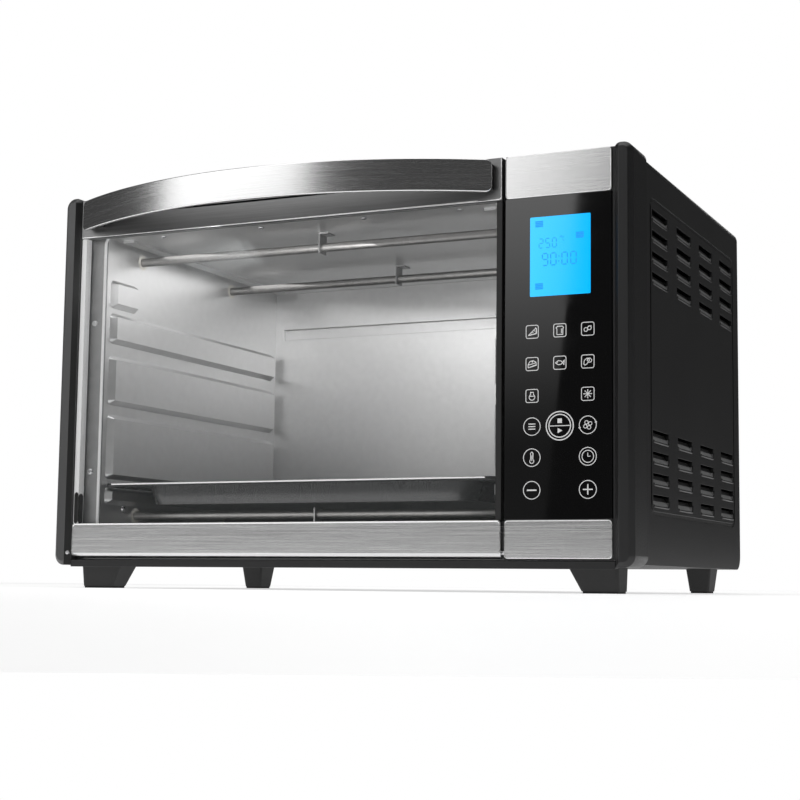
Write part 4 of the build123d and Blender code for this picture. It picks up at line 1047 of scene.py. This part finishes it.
def soft_wall():
    """A tall lit wall at the front left, dimmer towards the floor, with a leaning right edge."""
    y = FRONT - WALL_AHEAD
    corners = ((WALL_LEFT, y, WALL_FOOT), (WALL_FOOT_RIGHT, y, WALL_FOOT),
               (WALL_TOP_RIGHT, y, WALL_TOP), (WALL_LEFT, y, WALL_TOP))
    mesh = bpy.data.meshes.new("soft_wall")
    mesh.from_pydata(corners, [], [(3, 2, 1, 0)])
    look = bpy.data.materials.new("soft_wall_light")
    look.use_nodes = True
    tree = look.node_tree
    tree.nodes.clear()
    coords = tree.nodes.new("ShaderNodeTexCoord")
    split = tree.nodes.new("ShaderNodeSeparateXYZ")
    ramp = tree.nodes.new("ShaderNodeMapRange")
    ramp.interpolation_type = "SMOOTHSTEP"
    ramp.inputs["From Min"].default_value = WALL_DIM_Z
    ramp.inputs["From Max"].default_value = WALL_LIT_Z
    ramp.inputs["To Min"].default_value = WALL_LOW
    ramp.inputs["To Max"].default_value = WALL_HIGH
    glow = tree.nodes.new("ShaderNodeEmission")
    out = tree.nodes.new("ShaderNodeOutputMaterial")
    tree.links.new(coords.outputs["Object"], split.inputs["Vector"])
    tree.links.new(split.outputs["Z"], ramp.inputs["Value"])
    tree.links.new(ramp.outputs["Result"], glow.inputs["Strength"])
    tree.links.new(glow.outputs["Emission"], out.inputs["Surface"])
    mesh.materials.append(look)
    wall = bpy.data.objects.new("soft_wall", mesh)
    bpy.context.scene.collection.objects.link(wall)
    wall.visible_camera = False


WORLD_LEVEL = 0.05            # light from all round; the background itself shows white


def studio():
    """World and lights: three soft ones round the oven and three small ones inside its cavity."""
    world = bpy.data.worlds.new("studio")
    bpy.context.scene.world = world
    world.use_nodes = True
    tree = world.node_tree
    back = tree.nodes["Background"]
    back.inputs["Color"].default_value = (1, 1, 1, 1)
    path = tree.nodes.new("ShaderNodeLightPath")
    level = tree.nodes.new("ShaderNodeMapRange")
    level.inputs["To Min"].default_value = WORLD_LEVEL
    level.inputs["To Max"].default_value = 1.0
    tree.links.new(path.outputs["Is Camera Ray"], level.inputs["Value"])
    tree.links.new(level.outputs["Result"], back.inputs["Strength"])
    area_light("top", (0.0, -0.3, 2.3), (0, -0.3, 0), 2.2, 22.0)
    area_light("right", (2.2, 0.35, 0.75), (0.24, 0.0, 0.2), 1.2, 4.0)
    area_light("rear", (-0.6, 2.4, 1.5), (0, 0.1, 0.15), 1.6, 9.0)
    middle = ((ceiling_low.x + ceiling_high.x) / 2, (ceiling_low.y + ceiling_high.y) / 2 - 0.02,
              ceiling_low.z - 0.012)
    area_light("cavity_fill", (middle[0] - 0.05, *middle[1:]), (middle[0] - 0.07, middle[1], 0.05),
               0.22, 0.20, 0.20)
    mouth = (middle[0], frame_high.y + 0.012, ceiling_low.z - 0.02)
    area_light("cavity_mouth", mouth, (mouth[0] - 0.12, mouth[1] + 0.2, 0.16), 0.28, 0.09, 0.02)
    under = (middle[0] - 0.02, mouth[1], floor_high.z + 0.008)
    area_light("under_tray", under, (under[0], under[1] + 0.2, under[2] + 0.01), 0.28, 0.018, 0.01)


EYE = (0.5611, FRONT - 1.0560, 0.0057)
YAW, PITCH, ROLL = 23.79, 6.22, 0.55     # degrees
LENS, SHIFT_X, SHIFT_Y = 72.61, -0.05, 0.01


def camera():
    """The view found for this oven, given about the trims' front plane on the centre line."""
    yaw, pitch, roll = (math.radians(a) for a in (YAW, PITCH, ROLL))
    forward = Vector((-math.sin(yaw) * math.cos(pitch), math.cos(yaw) * math.cos(pitch),
                      math.sin(pitch)))
    side = forward.cross(Vector((0, 0, 1))).normalized()
    over = side.cross(forward)
    right = side * math.cos(roll) + over * math.sin(roll)
    up = over * math.cos(roll) - side * math.sin(roll)
    data = bpy.data.cameras.new("camera")
    data.sensor_width = 36.0
    data.lens = LENS
    data.shift_x = SHIFT_X
    data.shift_y = SHIFT_Y
    obj = bpy.data.objects.new("camera", data)
    bpy.context.scene.collection.objects.link(obj)
    axes = Matrix((right, up, -forward)).transposed().to_4x4()
    obj.matrix_world = Matrix.Translation(EYE) @ axes
    bpy.context.scene.camera = obj


pale_floor()
soft_wall()
studio()
camera()
bpy.context.scene.view_settings.view_transform = "Standard"
